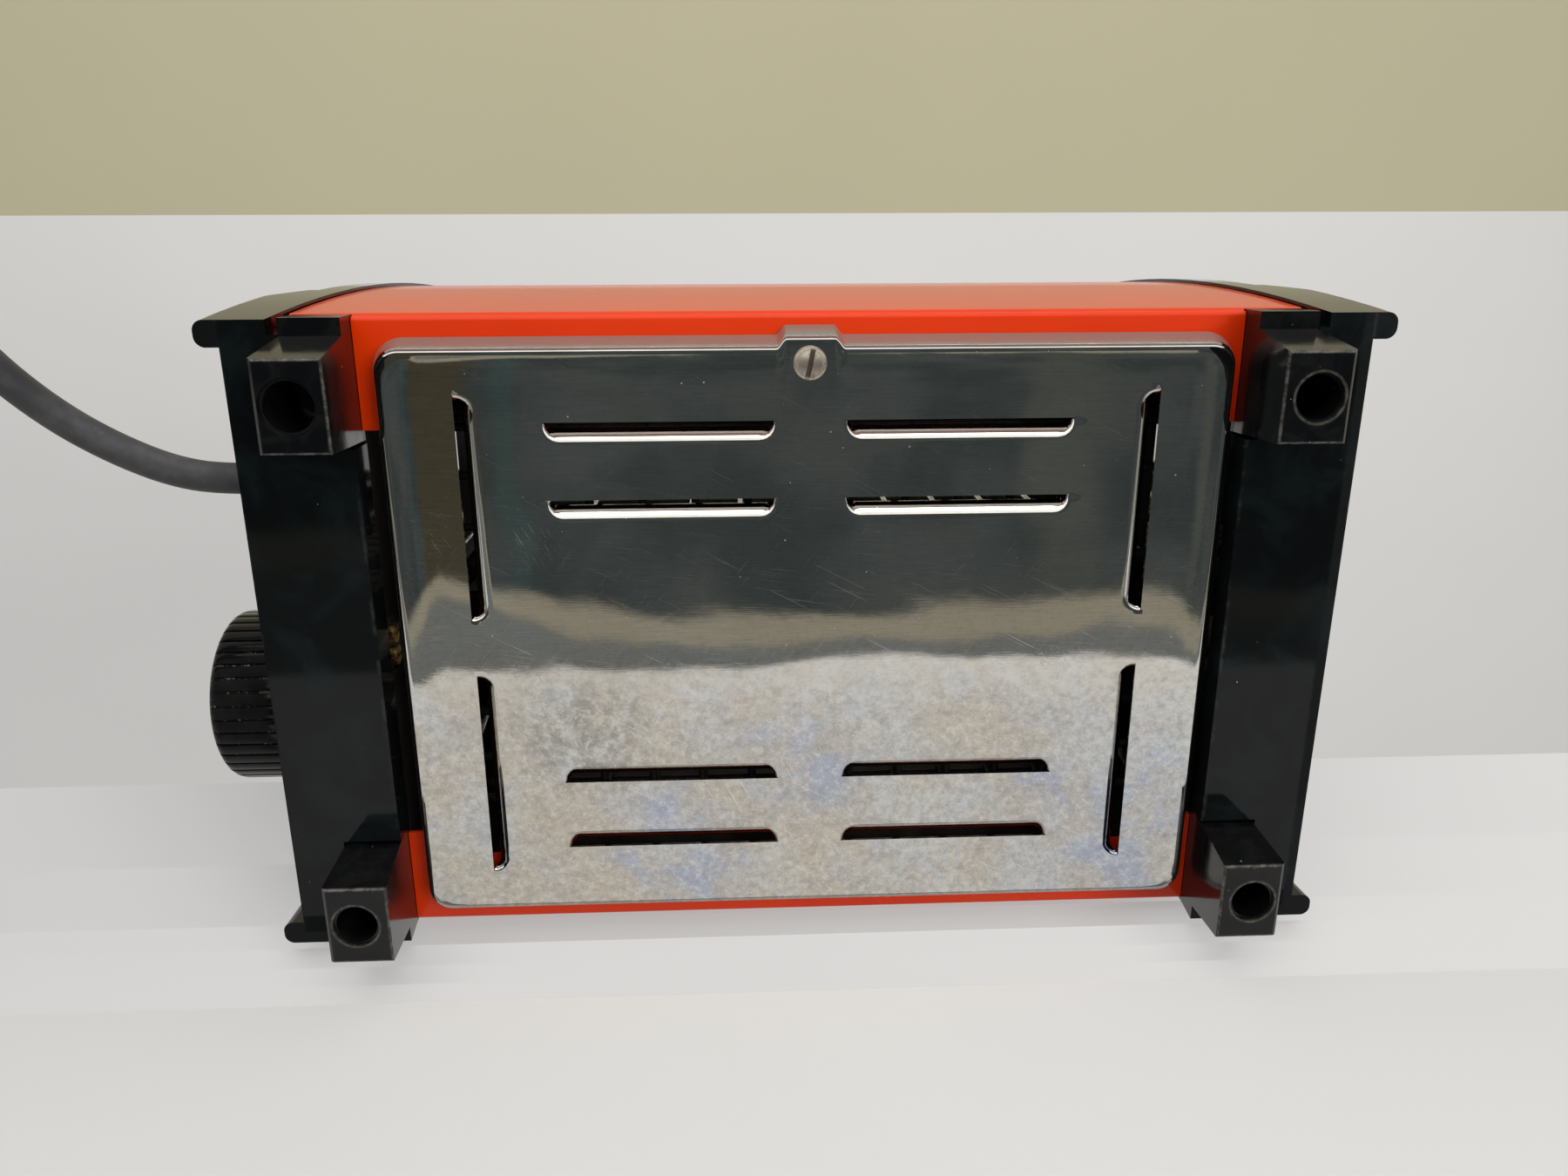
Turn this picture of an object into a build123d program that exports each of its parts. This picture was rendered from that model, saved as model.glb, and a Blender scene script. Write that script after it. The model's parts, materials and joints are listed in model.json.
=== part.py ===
"""Drop side toaster: orange doors and rails between two black end caps, standing on four feet.

Millimetres. +Z is up, +X points to the end with the timer knob and the cord, +Y is the rear.
The origin lies on the standing surface, under the middle of the body.
"""

from build123d import *

import os
from math import atan, degrees, radians, sqrt, tan

os.makedirs("parts", exist_ok=True)

# ---------------------------------------------------------------- driving sizes
# Overall: half length of a door, half depth where the doors bulge most, top of a closed door
BODY_X = 107.4
SIDE_Y = 74.4
DOOR_TOP = 160.0

# Body shell
SIDE_Z = 92.0  # height of the widest place
SIDE_R = 720.0  # radius of the bulge
SHEET = 1.0  # enamelled sheet of doors and rails
STEEL = 0.8  # plain sheet of the inner parts
SEAT_GAP = 0.1  # between flat faces that rest on each other
SEAT_SIDE = 0.3  # round a piece that drops into its seat
OVERSHOOT = 1.0  # a hole's cutter passes this far beyond the wall

# End caps
CAP_RIM = 9.5  # from the doors' end of a cap to its outer face
CAP_WALL = 3.0
CAP_RISE = 12.0  # a cap stands this far above the doors
CAP_TOP_R, CAP_EDGE_R = 14.0, 3.0
CAP_INNER_DROP = 6.0  # the part inside the doors stops this far below a cap's top
CAP_GAP = 0.6  # between a door's end and the cap's rim
RIM_PROUD = 0.8  # the rim stands this far outside the door
REBATE_GAP = 1.2  # between the back of the door skin and the cap
STRIP_Z = 17.1  # underside of an end cap
STRIP_IN = 0.7  # that underside reaches this far under the rails
STRIP_T, STRIP_SHORT = 2.5, 4.0
LIP_T, LIP_TOP = 2.0, 24.9
EAR_T = 5.4  # thickness of an ear
EAR_FOOT_OUT, EAR_TIP_OUT = 4.8, 6.0  # reach of an ear at its bottom and where it is longest
EAR_TIP_Z, EAR_TOP_Z = 49.0, 69.0
EAR_TOP_IN = 0.6
EAR_EDGE_R = 2.2

# Feet
FOOT_IN = 11.85  # from a cap's outer face to a foot
FOOT_L, FOOT_W = 13.85, 18.1
FOOT_OUT_Y = 2.8  # from the widest place of the body in to the outer edge at a foot's root
FOOT_SLOPE_OUT, FOOT_SLOPE_Y, FOOT_SLOPE_IN, FOOT_SLOPE_X = 2.8, 3.6, 1.7, 2.1
FOOT_TOP = 27.0
FOOT_CHAMFER, FOOT_EDGE_R = 0.9, 0.5
SHELF_T = 2.4  # of the cap's shelf over a foot
BOSS_R, BOSS_H, PILOT_R = 4.0, 14.0, 1.7
FOOT_BORE, FOOT_RING = 8.8, 0.5
FOOT_BORE_WIDE, FOOT_RING_WIDE = 9.8, 0.7  # the rear foot at the timer end is bored wider
FOOT_BORE_DEPTH, FOOT_RING_DEPTH = 19.0, 0.8
BORE_IN_X, BORE_IN_Y = 7.3, 9.1  # from a foot's inner edges to the middle of its bore
SCREW_R = 1.65
SCREW_LOOSE = 0.6  # room round a screw in the part that it clamps
SCREW_HEAD_R, SCREW_HEAD_H = 3.6, 2.4
SCREW_L = 18.0
SLOT_W, SLOT_DEPTH = 1.0, 1.2

# Bottom rails and base plate
RAIL_INSET = 13.6  # from a door's end in to the end of a rail
RAIL_Z = 25.4
RAIL_OUT_Y, RAIL_W = 3.2, 23.5
RAIL_RISE = 1.6
RAIL_EDGE_R = 0.9
RAIL_NOTCH_END, RAIL_NOTCH_D, RAIL_NOTCH_R = 9.8, 6.3, 2.5  # its inner edge is cut back over the louvres
PLATE_PLAY = 2.5  # between the end of the rails and the plate's wall
PLATE_IN_Y = 6.1
PLATE_FLARE = 1.9  # its wall leans out this far
PLATE_Z = 20.3
PLATE_T = 0.8
PLATE_CORNER, PLATE_EDGE_R = 4.0, 0.7
PLATE_SHIFT = -0.9  # the plate sits this far off centre, in its slack
LOUVRE_W = 3.4
LOUVRE_LIP_W, LOUVRE_RISE = 2.0, 2.2  # the lip's width in plan, and how far its edge is pushed in
LOUVRE_LIP_BACK, LOUVRE_LIP_ROOT = 0.56, 0.24
LOUVRE_X0, LOUVRE_END_GAP = 7.2, 17.7  # ends of a lengthwise louvre
LOUVRE_ROW_IN = (15.4, 32.0)  # cut edges, from the edge of the flat
LOUVRE_SIDE_IN = 15.2
LOUVRE_SIDE_Y0, LOUVRE_SIDE_END = 6.3, 9.5
PLATE_SCREW_X, PLATE_SCREW_IN = -0.7, 3.5
PLATE_SCREW_R = 2.0
PLATE_SCREW_HEAD_R, PLATE_SCREW_HEAD_H, PLATE_SCREW_DOME_R = 3.5, 1.6, 0.96
PLATE_SCREW_SLOT_DEPTH, PLATE_SCREW_TURN = 0.9, 102.0
PLATE_SCREW_L = 10.0
NUT_W, NUT_H = 7.0, 2.8
TAB_W, TAB_OUT = 10.6, 2.0  # tab of the plate over the rear rail, at the level of its flat

# Doors
HINGE_Z = 30.2
ROD_R = 1.5
ROD_FIT = 0.08
ROD_SEAT = 5.0  # depth of a rod's end in the cap
HEM_R = 2.6
HEM_GAP = 0.7
HEM_ROOM = 20.0  # length of the cap's room for the hem, from its rim inward
LINER_GAP = 1.8  # between the liner's ends and the end plates
LINER_FIT = 0.3  # between the liner and the skin
LINER_FOOT_IN, LINER_FOOT_Z = 24.4, 37.0  # the liner's lower corner
LINER_BOTTOM_Z = 34.0  # where its lower leg meets the skin
LINER_HEAD_IN = 43.4
FLANGE_IN = 22.4  # inner edge of the skin's top flange
RACK_R = 1.0
RACK_CROSS = 1.6  # from the middle of a wire to that of a cross wire welded behind it
RACK_CROSS_AT = (0.04, 0.5, 0.96)  # places of the cross wires along a wire
RACK_OFF = 2.9  # from the liner's face to the middle of a wire
RACK_PITCH = 12.25
RACK_EDGE = 5.0  # least distance of a wire from the liner's end
RACK_Z0, RACK_DROP = 44.0, 5.0
LEDGE_Y, LEDGE_Z = 21.0, 41.0
HANDLE_IN_X, HANDLE_H = 32.0, 9.0
HANDLE_IN_Y, HANDLE_W = 4.0, 16.4
CATCH_IN_Y, CATCH_DROP, CATCH_H = 12.5, 40.0, 16.0
CATCH_T, CATCH_BUMP = 0.6, 0.6

# Heater
ELEMENT_GAP, ELEMENT_Z0, ELEMENT_DROP = 5.8, 46.0, 6.0
FRAME_Y, FRAME_W = 4.0, 5.0
MICA_T, MICA_Y = 0.6, 2.4  # thickness, and distance of the outer face from the middle
RIBBON_N, RIBBON_H, RIBBON_T, RIBBON_IN = 12, 1.6, 0.3, 4.0
RIBBON_MARGIN = 6.0
GUARD_Y, GUARD_R, GUARD_RAIL_R = 13.0, 0.8, 1.2
GUARD_PITCH = 14.0
GUARD_Z0, GUARD_DROP = 44.0, 4.0
TOP_COVER_Y, TOP_COVER_DROP, TOP_COVER_H = 12.0, 2.0, 9.0
END_PLATE_IN, END_PLATE_RISE = 9.9, 5.0
END_PLATE_WIDE_Z = 27.4  # the plate is wider above this, clear of the feet
END_PLATE_FOOT_GAP = 0.6
WINDOW_Y0, WINDOW_Y1, WINDOW_Z0, WINDOW_Z1 = -8.0, 5.0, 27.0, 56.0

# Timer
KNOB_Y, KNOB_Z, KNOB_R = -18.0, 41.5, 20.0
KNOB_GAP, KNOB_T = 0.8, 16.0
KNOB_RIBS, KNOB_GROOVE, KNOB_RIM = 40, 0.9, 2.2
SHAFT_R, SHAFT_FIT = 3.0, 0.08
SHAFT_GAP, SHAFT_IN_KNOB = 1.0, 11.0  # from the end plate to the shaft, and the shaft's depth in the knob
CAM_R, CAM_IN, CAM_T, CAM_NOTCH = 9.0, 0.8, 2.0, 3.0
TIMER_R, TIMER_T, TIMER_EDGE_R = 17.5, 13.5, 1.5
BLADE_T, BLADE_W, BLADE_GAP = 0.4, 2.8, 1.0
BELL_Y, BELL_Z, BELL_R, BELL_H, BELL_T = 24.0, 90.0, 16.0, 9.0, 0.9
BELL_GAP, BELL_BULGE = 4.4, 0.7

# Wiring
BLOCK_L, BLOCK_T, BLOCK_H = 22.0, 5.8, 10.6
BLOCK_Y0, BLOCK_Z0 = -8.0, 27.4
TERMINAL_R, TERMINAL_H, TERMINAL_EDGE = 2.2, 1.6, 1.0
LEAD_R, LEAD_GAP = 1.1, 3.0
# leads' centres from the cord's axis, in Y and Z
LIVE_AT, NEUTRAL_AT, EARTH_AT = (-1.653, -0.95), (0.0, 1.9), (1.653, -0.95)

# Cord
CORD_D = 7.0
CORD_IN_Y, CORD_Z = 9.2, 33.0
GLAND_R, GLAND_FIT, GLAND_OUT, GLAND_TIP_R = 5.4, 0.05, 3.0, 4.6
GLAND_FLANGE_R, GLAND_FLANGE_T = 7.4, 2.0
JACKET_L = 11.5
CLAMP_BACK, CLAMP_L, CLAMP_W = 1.0, 6.0, 13.0
COIL_X, COIL_Y = 214.0, 92.0
COIL_R, COIL_TURNS_WIDE, COIL_LAYERS, COIL_EDGE_R = 38.5, 3, 2, CORD_D / 2.2
TIE_T, TIE_W = 0.8, 8.0
PLUG_L, PLUG_W, PLUG_H = 36.0, 26.0, 15.0
PLUG_PIN_R, PLUG_PIN_L, PLUG_PIN_PITCH, PLUG_EARTH = 2.0, 19.0, 19.0, 5.0
TAIL_L = 98.0

# ---------------------------------------------------------------- values worked out from them
RIM_X = BODY_X + CAP_GAP
CAP_X = RIM_X + CAP_RIM
WALL_IN = CAP_X - CAP_WALL
CAP_TOP = DOOR_TOP + CAP_RISE
RAIL_X = BODY_X - RAIL_INSET
END_X = RAIL_X + STEEL  # outer face of an end plate
STRIP_X = RAIL_X - STRIP_IN
FOOT_X1 = CAP_X - FOOT_IN
FOOT_X0 = FOOT_X1 - FOOT_L
FOOT_ROOT_X0 = FOOT_X0 + FOOT_SLOPE_X
FOOT_EDGE_Y = SIDE_Y - FOOT_OUT_Y
FOOT_ROOT_Y1 = FOOT_EDGE_Y - FOOT_SLOPE_Y
FOOT_Y1 = FOOT_ROOT_Y1 - FOOT_SLOPE_OUT
FOOT_Y0 = FOOT_Y1 - FOOT_W
FOOT_ROOT_Y0 = FOOT_Y0 - FOOT_SLOPE_IN
BORE_X = FOOT_X0 + BORE_IN_X
BORE_Y = FOOT_Y0 + BORE_IN_Y
SEAT_Z = FOOT_TOP + SEAT_GAP
RAIL_Y1 = SIDE_Y - RAIL_OUT_Y
RAIL_Y0 = RAIL_Y1 - RAIL_W
PLATE_X = RAIL_X - PLATE_PLAY - PLATE_FLARE
PLATE_Y = RAIL_Y1 - PLATE_IN_Y
PLATE_RIM = RAIL_Z - SEAT_GAP
PLATE_SCREW_Y = PLATE_Y - PLATE_SCREW_IN
LOUVRE_SIDE_X = PLATE_X - LOUVRE_SIDE_IN
LOUVRE_L = LOUVRE_SIDE_X - LOUVRE_END_GAP - LOUVRE_X0
LOUVRE_SIDE_L = PLATE_Y - LOUVRE_SIDE_END - LOUVRE_SIDE_Y0
LINER_X = RAIL_X - LINER_GAP
LINER_FOOT_Y = SIDE_Y - LINER_FOOT_IN
LINER_HEAD_Y = SIDE_Y - LINER_HEAD_IN
LINER_HEAD_Z = DOOR_TOP - SHEET
FLANGE_Y = SIDE_Y - FLANGE_IN
RACK_Z1 = DOOR_TOP - RACK_DROP
RACK_WIRES = 2 * int((LINER_X - RACK_EDGE) / RACK_PITCH) + 1
HANDLE_X = LINER_X - HANDLE_IN_X
HANDLE_Y1 = SIDE_Y - HANDLE_IN_Y
HANDLE_Y0 = HANDLE_Y1 - HANDLE_W
END_PLATE_Y = SIDE_Y - END_PLATE_IN
END_PLATE_TOP = DOOR_TOP + END_PLATE_RISE
CATCH_Y = END_PLATE_Y - CATCH_IN_Y
CATCH_Z = DOOR_TOP - CATCH_DROP
ELEMENT_X = RAIL_X - ELEMENT_GAP
ELEMENT_Z1 = DOOR_TOP - ELEMENT_DROP
RIBBON_X = ELEMENT_X - FRAME_W - RIBBON_IN
GUARD_Z1 = DOOR_TOP - GUARD_DROP
GUARD_N = 2 * int((RAIL_X - GUARD_PITCH / 2) / GUARD_PITCH) + 1
TOP_COVER_Z = DOOR_TOP - TOP_COVER_DROP
KNOB_X0 = CAP_X + KNOB_GAP
KNOB_X1 = KNOB_X0 + KNOB_T
SHAFT_X0 = END_X + SHAFT_GAP
CAM_X0 = SHAFT_X0 + CAM_IN
TIMER_X0 = WALL_IN - TIMER_T
BELL_X0 = END_X + BELL_GAP
LEAD_X = END_X + LEAD_GAP
CORD_Y = FOOT_ROOT_Y0 - CORD_IN_Y
JACKET_X0 = WALL_IN - JACKET_L


AHEAD = (Align.CENTER, Align.CENTER, Align.MIN)  # a shape that grows from its place along its own Z
BEHIND = (Align.CENTER, Align.CENTER, Align.MAX)
FROM_END = (Align.MIN, Align.CENTER, Align.MIN)


def side_y(z, out=0.0):
    """Distance from the middle to the body's side at height z, moved outward by out."""
    return SIDE_Y - SIDE_R + sqrt((SIDE_R + out) ** 2 - (z - SIDE_Z) ** 2)


HINGE_Y = side_y(HINGE_Z) - HEM_R
SHELF_Y = HINGE_Y - HEM_R - HEM_GAP
SHELF_L = WALL_IN - END_X - SEAT_SIDE


def side(sign):
    """Alignment of a box that grows from its place in the direction of sign."""
    return Align.MIN if sign > 0 else Align.MAX


def side_arc(z0, z1, out=0.0, sign=1):
    """Curve of the body's side in the YZ plane between two heights."""
    middle = (z0 + z1) / 2
    return ThreePointArc(
        (sign * side_y(z0, out), z0), (sign * side_y(middle, out), middle), (sign * side_y(z1, out), z1)
    )


def barrel(z0, z1, out=0.0):
    """Closed outline of the body's cross-section between two heights."""
    rear = side_arc(z0, z1, out)
    Line(rear @ 1, (-side_y(z1, out), z1))
    front = side_arc(z0, z1, out, -1)
    Line(front @ 0, rear @ 0)


def save(builder, name):
    """Label a finished piece and write it."""
    builder.part.label = name
    export_step(builder.part, f"parts/{name}.step")


# ---------------------------------------------------------------- end caps
def end_cap(openings):
    """Black moulding at the +X end; openings are (y, z, radius) holes through its wall."""
    with BuildPart() as cap:
        with BuildSketch(Plane.YZ.offset(RIM_X)):
            with BuildLine():
                barrel(STRIP_Z, CAP_TOP, RIM_PROUD)
            make_face()
        extrude(amount=CAP_X - RIM_X)
        top_edges = cap.edges().filter_by(Axis.X).group_by(Axis.Z)[-1]
        fillet(top_edges, CAP_TOP_R)
        end_edges = cap.faces().sort_by(Axis.X)[-1].edges()
        fillet(end_edges.sort_by(Axis.Z)[1:], CAP_EDGE_R)
        with BuildSketch(Plane.YZ.offset(END_X)):
            with BuildLine():
                barrel(STRIP_Z, CAP_TOP - CAP_INNER_DROP, -SHEET - REBATE_GAP)
            make_face()
        extrude(amount=RIM_X - END_X)
        with BuildSketch(Plane.YZ.offset(END_X)):
            with BuildLine():
                barrel(STRIP_Z + STRIP_T, CAP_TOP - CAP_INNER_DROP - CAP_WALL, -SHEET - REBATE_GAP - STRIP_T)
            make_face()
        extrude(amount=WALL_IN - END_X, mode=Mode.SUBTRACT)
        # underside and its inner lip
        strip_w = 2 * (FOOT_ROOT_Y0 - SEAT_SIDE)
        with Locations((STRIP_X, 0, STRIP_Z)):
            Box(CAP_X - STRIP_X - STRIP_SHORT, strip_w, STRIP_T, align=FROM_END)
            Box(LIP_T, strip_w, LIP_TOP - STRIP_Z, align=FROM_END)
        # ears: two fins that flare out from the end wall
        ear_root = WALL_IN - OVERSHOOT
        for sign in (1, -1):
            with BuildPart(mode=Mode.PRIVATE) as ear:
                with BuildSketch(Plane.YZ.offset(ear_root)):
                    with BuildLine():
                        outer = side_arc(STRIP_Z, EAR_TOP_Z, RIM_PROUD, sign)
                        inner = side_arc(STRIP_Z, EAR_TOP_Z, RIM_PROUD - EAR_T, sign)
                        Line(outer @ 0, inner @ 0)
                        Line(outer @ 1, inner @ 1)
                    make_face()
                extrude(amount=CAP_X + EAR_TIP_OUT - ear_root)
                with BuildSketch(Plane.XZ):
                    Polygon(
                        (ear_root, STRIP_Z),
                        (CAP_X + EAR_FOOT_OUT, STRIP_Z),
                        (CAP_X + EAR_TIP_OUT, EAR_TIP_Z),
                        (CAP_X - EAR_TOP_IN, EAR_TOP_Z),
                        (ear_root, EAR_TOP_Z),
                        align=None,
                    )
                extrude(amount=2 * SIDE_Y, both=True, mode=Mode.INTERSECT)
                tips = ear.faces().sort_by(Axis.X)[-1].edges()
                fillet(tips.filter_by(lambda e: abs(e.tangent_at(0.5).Z) > 0.9), EAR_EDGE_R)
            add(ear.part)
        # seats for the feet, with a shelf and a screw boss over each
        for sign in (1, -1):
            with Locations((0, sign * FOOT_ROOT_Y0, 0)):
                corner = (Align.MIN, side(sign), Align.MIN)
                with Locations((0, -sign * SEAT_SIDE, 0)):
                    Box(FOOT_X1 + SEAT_SIDE, SIDE_Y, SEAT_Z, align=corner, mode=Mode.SUBTRACT)
                with Locations((END_X + SEAT_SIDE, 0, SEAT_Z)):
                    Box(SHELF_L, SHELF_Y - FOOT_ROOT_Y0, SHELF_T, align=corner)
            with Locations((BORE_X, sign * BORE_Y, SEAT_Z)):
                Cylinder(BOSS_R, BOSS_H, align=AHEAD)
                Cylinder(PILOT_R, BOSS_H, align=AHEAD, mode=Mode.SUBTRACT)
            # room for the door's hem, and the seat of the hinge rod
            with Locations(Location((RIM_X, sign * HINGE_Y, HINGE_Z), (0, 90, 0))):
                Cylinder(HEM_R + HEM_GAP, HEM_ROOM, align=BEHIND, mode=Mode.SUBTRACT)
                Cylinder(HEM_R, WALL_IN - RIM_X, align=AHEAD)
                Cylinder(ROD_R + ROD_FIT / 4, ROD_SEAT, align=AHEAD, mode=Mode.SUBTRACT)
        for y, z, radius in openings:
            with Locations(Location((WALL_IN - OVERSHOOT, y, z), (0, 90, 0))):
                Cylinder(radius, CAP_WALL + 2 * OVERSHOOT, align=AHEAD, mode=Mode.SUBTRACT)
    return cap


end_cap_timer = end_cap([(KNOB_Y, KNOB_Z, SHAFT_R + SHAFT_FIT), (CORD_Y, CORD_Z, GLAND_R)])
save(end_cap_timer, "end_cap_timer")

with BuildPart() as end_cap_plain:
    mirror(end_cap([]).part, about=Plane.YZ)
save(end_cap_plain, "end_cap_plain")


# ---------------------------------------------------------------- feet
def foot(x_sign, y_sign, bore, ring):
    """Tapered square foot, bored for its screw; ring is the width of the step round the bore's mouth."""
    with BuildPart() as block:
        with BuildSketch(Plane.YZ):
            Polygon(
                (FOOT_Y0, 0),
                (FOOT_Y1, 0),
                (FOOT_ROOT_Y1, STRIP_Z),
                (FOOT_EDGE_Y, STRIP_Z),
                (FOOT_EDGE_Y, FOOT_TOP),
                (FOOT_ROOT_Y0, FOOT_TOP),
                align=None,
            )
        extrude(amount=FOOT_X1)
        with BuildSketch(Plane.XZ):
            Polygon(
                (FOOT_X0, 0),
                (FOOT_X1, 0),
                (FOOT_X1, FOOT_TOP),
                (FOOT_ROOT_X0, FOOT_TOP),
                (FOOT_ROOT_X0, RAIL_Z),
                align=None,
            )
        extrude(amount=-2 * FOOT_EDGE_Y, mode=Mode.INTERSECT)
        chamfer(block.faces().sort_by(Axis.Z)[0].edges().sort_by(Axis.X)[-1], FOOT_CHAMFER)
        fillet(block.faces().sort_by(Axis.Z)[0].edges(), FOOT_EDGE_R)
        with Locations((BORE_X, BORE_Y, FOOT_BORE_DEPTH)):
            Cylinder(bore / 2, 2 * FOOT_BORE_DEPTH, align=BEHIND, mode=Mode.SUBTRACT)
            Cylinder(SCREW_R + SCREW_LOOSE, 2 * FOOT_TOP, mode=Mode.SUBTRACT)
        with Locations((BORE_X, BORE_Y, 0)):
            Cylinder(bore / 2 + ring, 2 * FOOT_RING_DEPTH, mode=Mode.SUBTRACT)
        if y_sign < 0:
            mirror(about=Plane.XZ, mode=Mode.REPLACE)
        if x_sign < 0:
            mirror(about=Plane.YZ, mode=Mode.REPLACE)
    return block


for x_name, x_sign in (("timer", 1), ("plain", -1)):
    for y_name, y_sign in (("rear", 1), ("front", -1)):
        widest = (x_name, y_name) == ("timer", "rear")
        bore, ring = (FOOT_BORE_WIDE, FOOT_RING_WIDE) if widest else (FOOT_BORE, FOOT_RING)
        save(foot(x_sign, y_sign, bore, ring), f"foot_{y_name}_{x_name}_end")

with BuildPart() as foot_screws:
    with Locations(*[(x * BORE_X, y * BORE_Y, FOOT_BORE_DEPTH) for x in (1, -1) for y in (1, -1)]):
        Cylinder(SCREW_R, SCREW_L, align=AHEAD)
        Cylinder(SCREW_HEAD_R, SCREW_HEAD_H, align=BEHIND)
        with Locations((0, 0, -SCREW_HEAD_H)):
            Box(3 * SCREW_HEAD_R, SLOT_W, 2 * SLOT_DEPTH, mode=Mode.SUBTRACT)
save(foot_screws, "foot_screws")

# ---------------------------------------------------------------- bottom rails
def both_sides(rear, name):
    """Write a rear piece, and its mirror image as the front one."""
    save(rear, f"{name}_rear")
    with BuildPart() as front:
        mirror(rear.part, about=Plane.XZ)
    save(front, f"{name}_front")


with BuildPart() as bottom_rail:
    with BuildSketch(Plane.YZ.offset(-RAIL_X)):
        Polygon(
            (RAIL_Y0, RAIL_Z),
            (RAIL_Y1, RAIL_Z),
            (RAIL_Y1, RAIL_Z + RAIL_RISE),
            (RAIL_Y1 - SHEET, RAIL_Z + RAIL_RISE),
            (RAIL_Y1 - SHEET, RAIL_Z + SHEET),
            (RAIL_Y0, RAIL_Z + SHEET),
            align=None,
        )
    extrude(amount=2 * RAIL_X)
    fillet(bottom_rail.edges().filter_by(Axis.X).group_by(Axis.Z)[0].sort_by(Axis.Y)[-1], RAIL_EDGE_R)
    with Locations((PLATE_SCREW_X, PLATE_SCREW_Y, RAIL_Z)):
        Cylinder(PLATE_SCREW_R + SCREW_LOOSE / 2, 4 * SHEET, mode=Mode.SUBTRACT)
    with BuildSketch(Plane.XY.offset(RAIL_Z)):
        with Locations((0, RAIL_Y0)):
            RectangleRounded(2 * (RAIL_X - RAIL_NOTCH_END), 2 * RAIL_NOTCH_D, RAIL_NOTCH_R)
    extrude(amount=SHEET, mode=Mode.SUBTRACT)
both_sides(bottom_rail, "bottom_rail")


# ---------------------------------------------------------------- base plate
def pan(inset, z):
    """Tapered tray solid from height z to the rim, with the tab for the screw."""
    rise = PLATE_RIM - z
    lean = PLATE_FLARE / (PLATE_RIM - PLATE_Z)
    grow = lean * (z - PLATE_Z) - inset
    with BuildPart(mode=Mode.PRIVATE) as tray:
        with BuildSketch(Plane.XY.offset(z)):
            with Locations((PLATE_SHIFT, 0)):
                RectangleRounded(2 * (PLATE_X + grow), 2 * (PLATE_Y + grow), PLATE_CORNER)
            with Locations((PLATE_SHIFT, 0)):
                Rectangle(TAB_W + 2 * grow, PLATE_Y + TAB_OUT + grow, align=(Align.CENTER, Align.MIN))
        extrude(amount=rise, taper=-degrees(atan(lean)))
    return tray.part


with BuildPart() as base_plate:
    add(pan(0, PLATE_Z))
    fillet(base_plate.faces().sort_by(Axis.Z)[0].edges(), PLATE_EDGE_R)
    add(pan(PLATE_T, PLATE_Z + PLATE_T), mode=Mode.SUBTRACT)
    with Locations((PLATE_SCREW_X, PLATE_SCREW_Y, PLATE_Z)):
        Cylinder(PLATE_SCREW_R + SCREW_LOOSE / 2, 4 * PLATE_T, mode=Mode.SUBTRACT)
    edge_y = LOUVRE_LIP_W - LOUVRE_W
    edge_z = PLATE_Z + LOUVRE_RISE
    rows = [PLATE_Y - inset for inset in LOUVRE_ROW_IN]
    middle = LOUVRE_X0 + LOUVRE_L / 2
    side_middle = LOUVRE_SIDE_Y0 + LOUVRE_SIDE_L / 2
    halves = [PLATE_SHIFT + middle, PLATE_SHIFT - middle]
    lengthwise = [Location((x, row, 0)) for x in halves for row in rows]
    lengthwise += [Location((x, -row, 0), (0, 0, 180)) for x in halves for row in rows]
    crosswise = [Location((PLATE_SHIFT - LOUVRE_SIDE_X, y * side_middle, 0), (0, 0, 90)) for y in (1, -1)]
    crosswise += [Location((PLATE_SHIFT + LOUVRE_SIDE_X, y * side_middle, 0), (0, 0, -90)) for y in (1, -1)]
    for spots, length in ((lengthwise, LOUVRE_L), (crosswise, LOUVRE_SIDE_L)):
        with BuildPart(mode=Mode.PRIVATE) as lip:
            with BuildSketch(Plane.YZ):
                Polygon(
                    (-LOUVRE_W, PLATE_Z),
                    (edge_y, edge_z),
                    (edge_y - LOUVRE_LIP_BACK, edge_z + LOUVRE_LIP_BACK),
                    (-LOUVRE_W - LOUVRE_LIP_ROOT, PLATE_Z + PLATE_T),
                    (-LOUVRE_W - LOUVRE_LIP_ROOT, PLATE_Z),
                    align=None,
                )
            extrude(amount=length / 2, both=True)
        with Locations(*spots):
            with Locations((0, 0, PLATE_Z)):
                behind_edge = (Align.CENTER, Align.MAX, Align.CENTER)
                Box(length, LOUVRE_W, 4 * PLATE_T, align=behind_edge, mode=Mode.SUBTRACT)
            add(lip.part)
save(base_plate, "base_plate")

with BuildPart() as base_plate_screw:
    with Locations((PLATE_SCREW_X, PLATE_SCREW_Y, PLATE_Z)):
        Cylinder(PLATE_SCREW_HEAD_R, PLATE_SCREW_HEAD_H, align=BEHIND)
    fillet(base_plate_screw.edges().group_by(Axis.Z)[0], PLATE_SCREW_DOME_R)
    with Locations((PLATE_SCREW_X, PLATE_SCREW_Y, PLATE_Z)):
        Cylinder(PLATE_SCREW_R, PLATE_SCREW_L, align=AHEAD)
    head_z = PLATE_Z - PLATE_SCREW_HEAD_H
    with Locations(Location((PLATE_SCREW_X, PLATE_SCREW_Y, head_z), (0, 0, PLATE_SCREW_TURN))):
        Box(3 * PLATE_SCREW_HEAD_R, SLOT_W, 2 * PLATE_SCREW_SLOT_DEPTH, mode=Mode.SUBTRACT)
save(base_plate_screw, "base_plate_screw")

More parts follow.
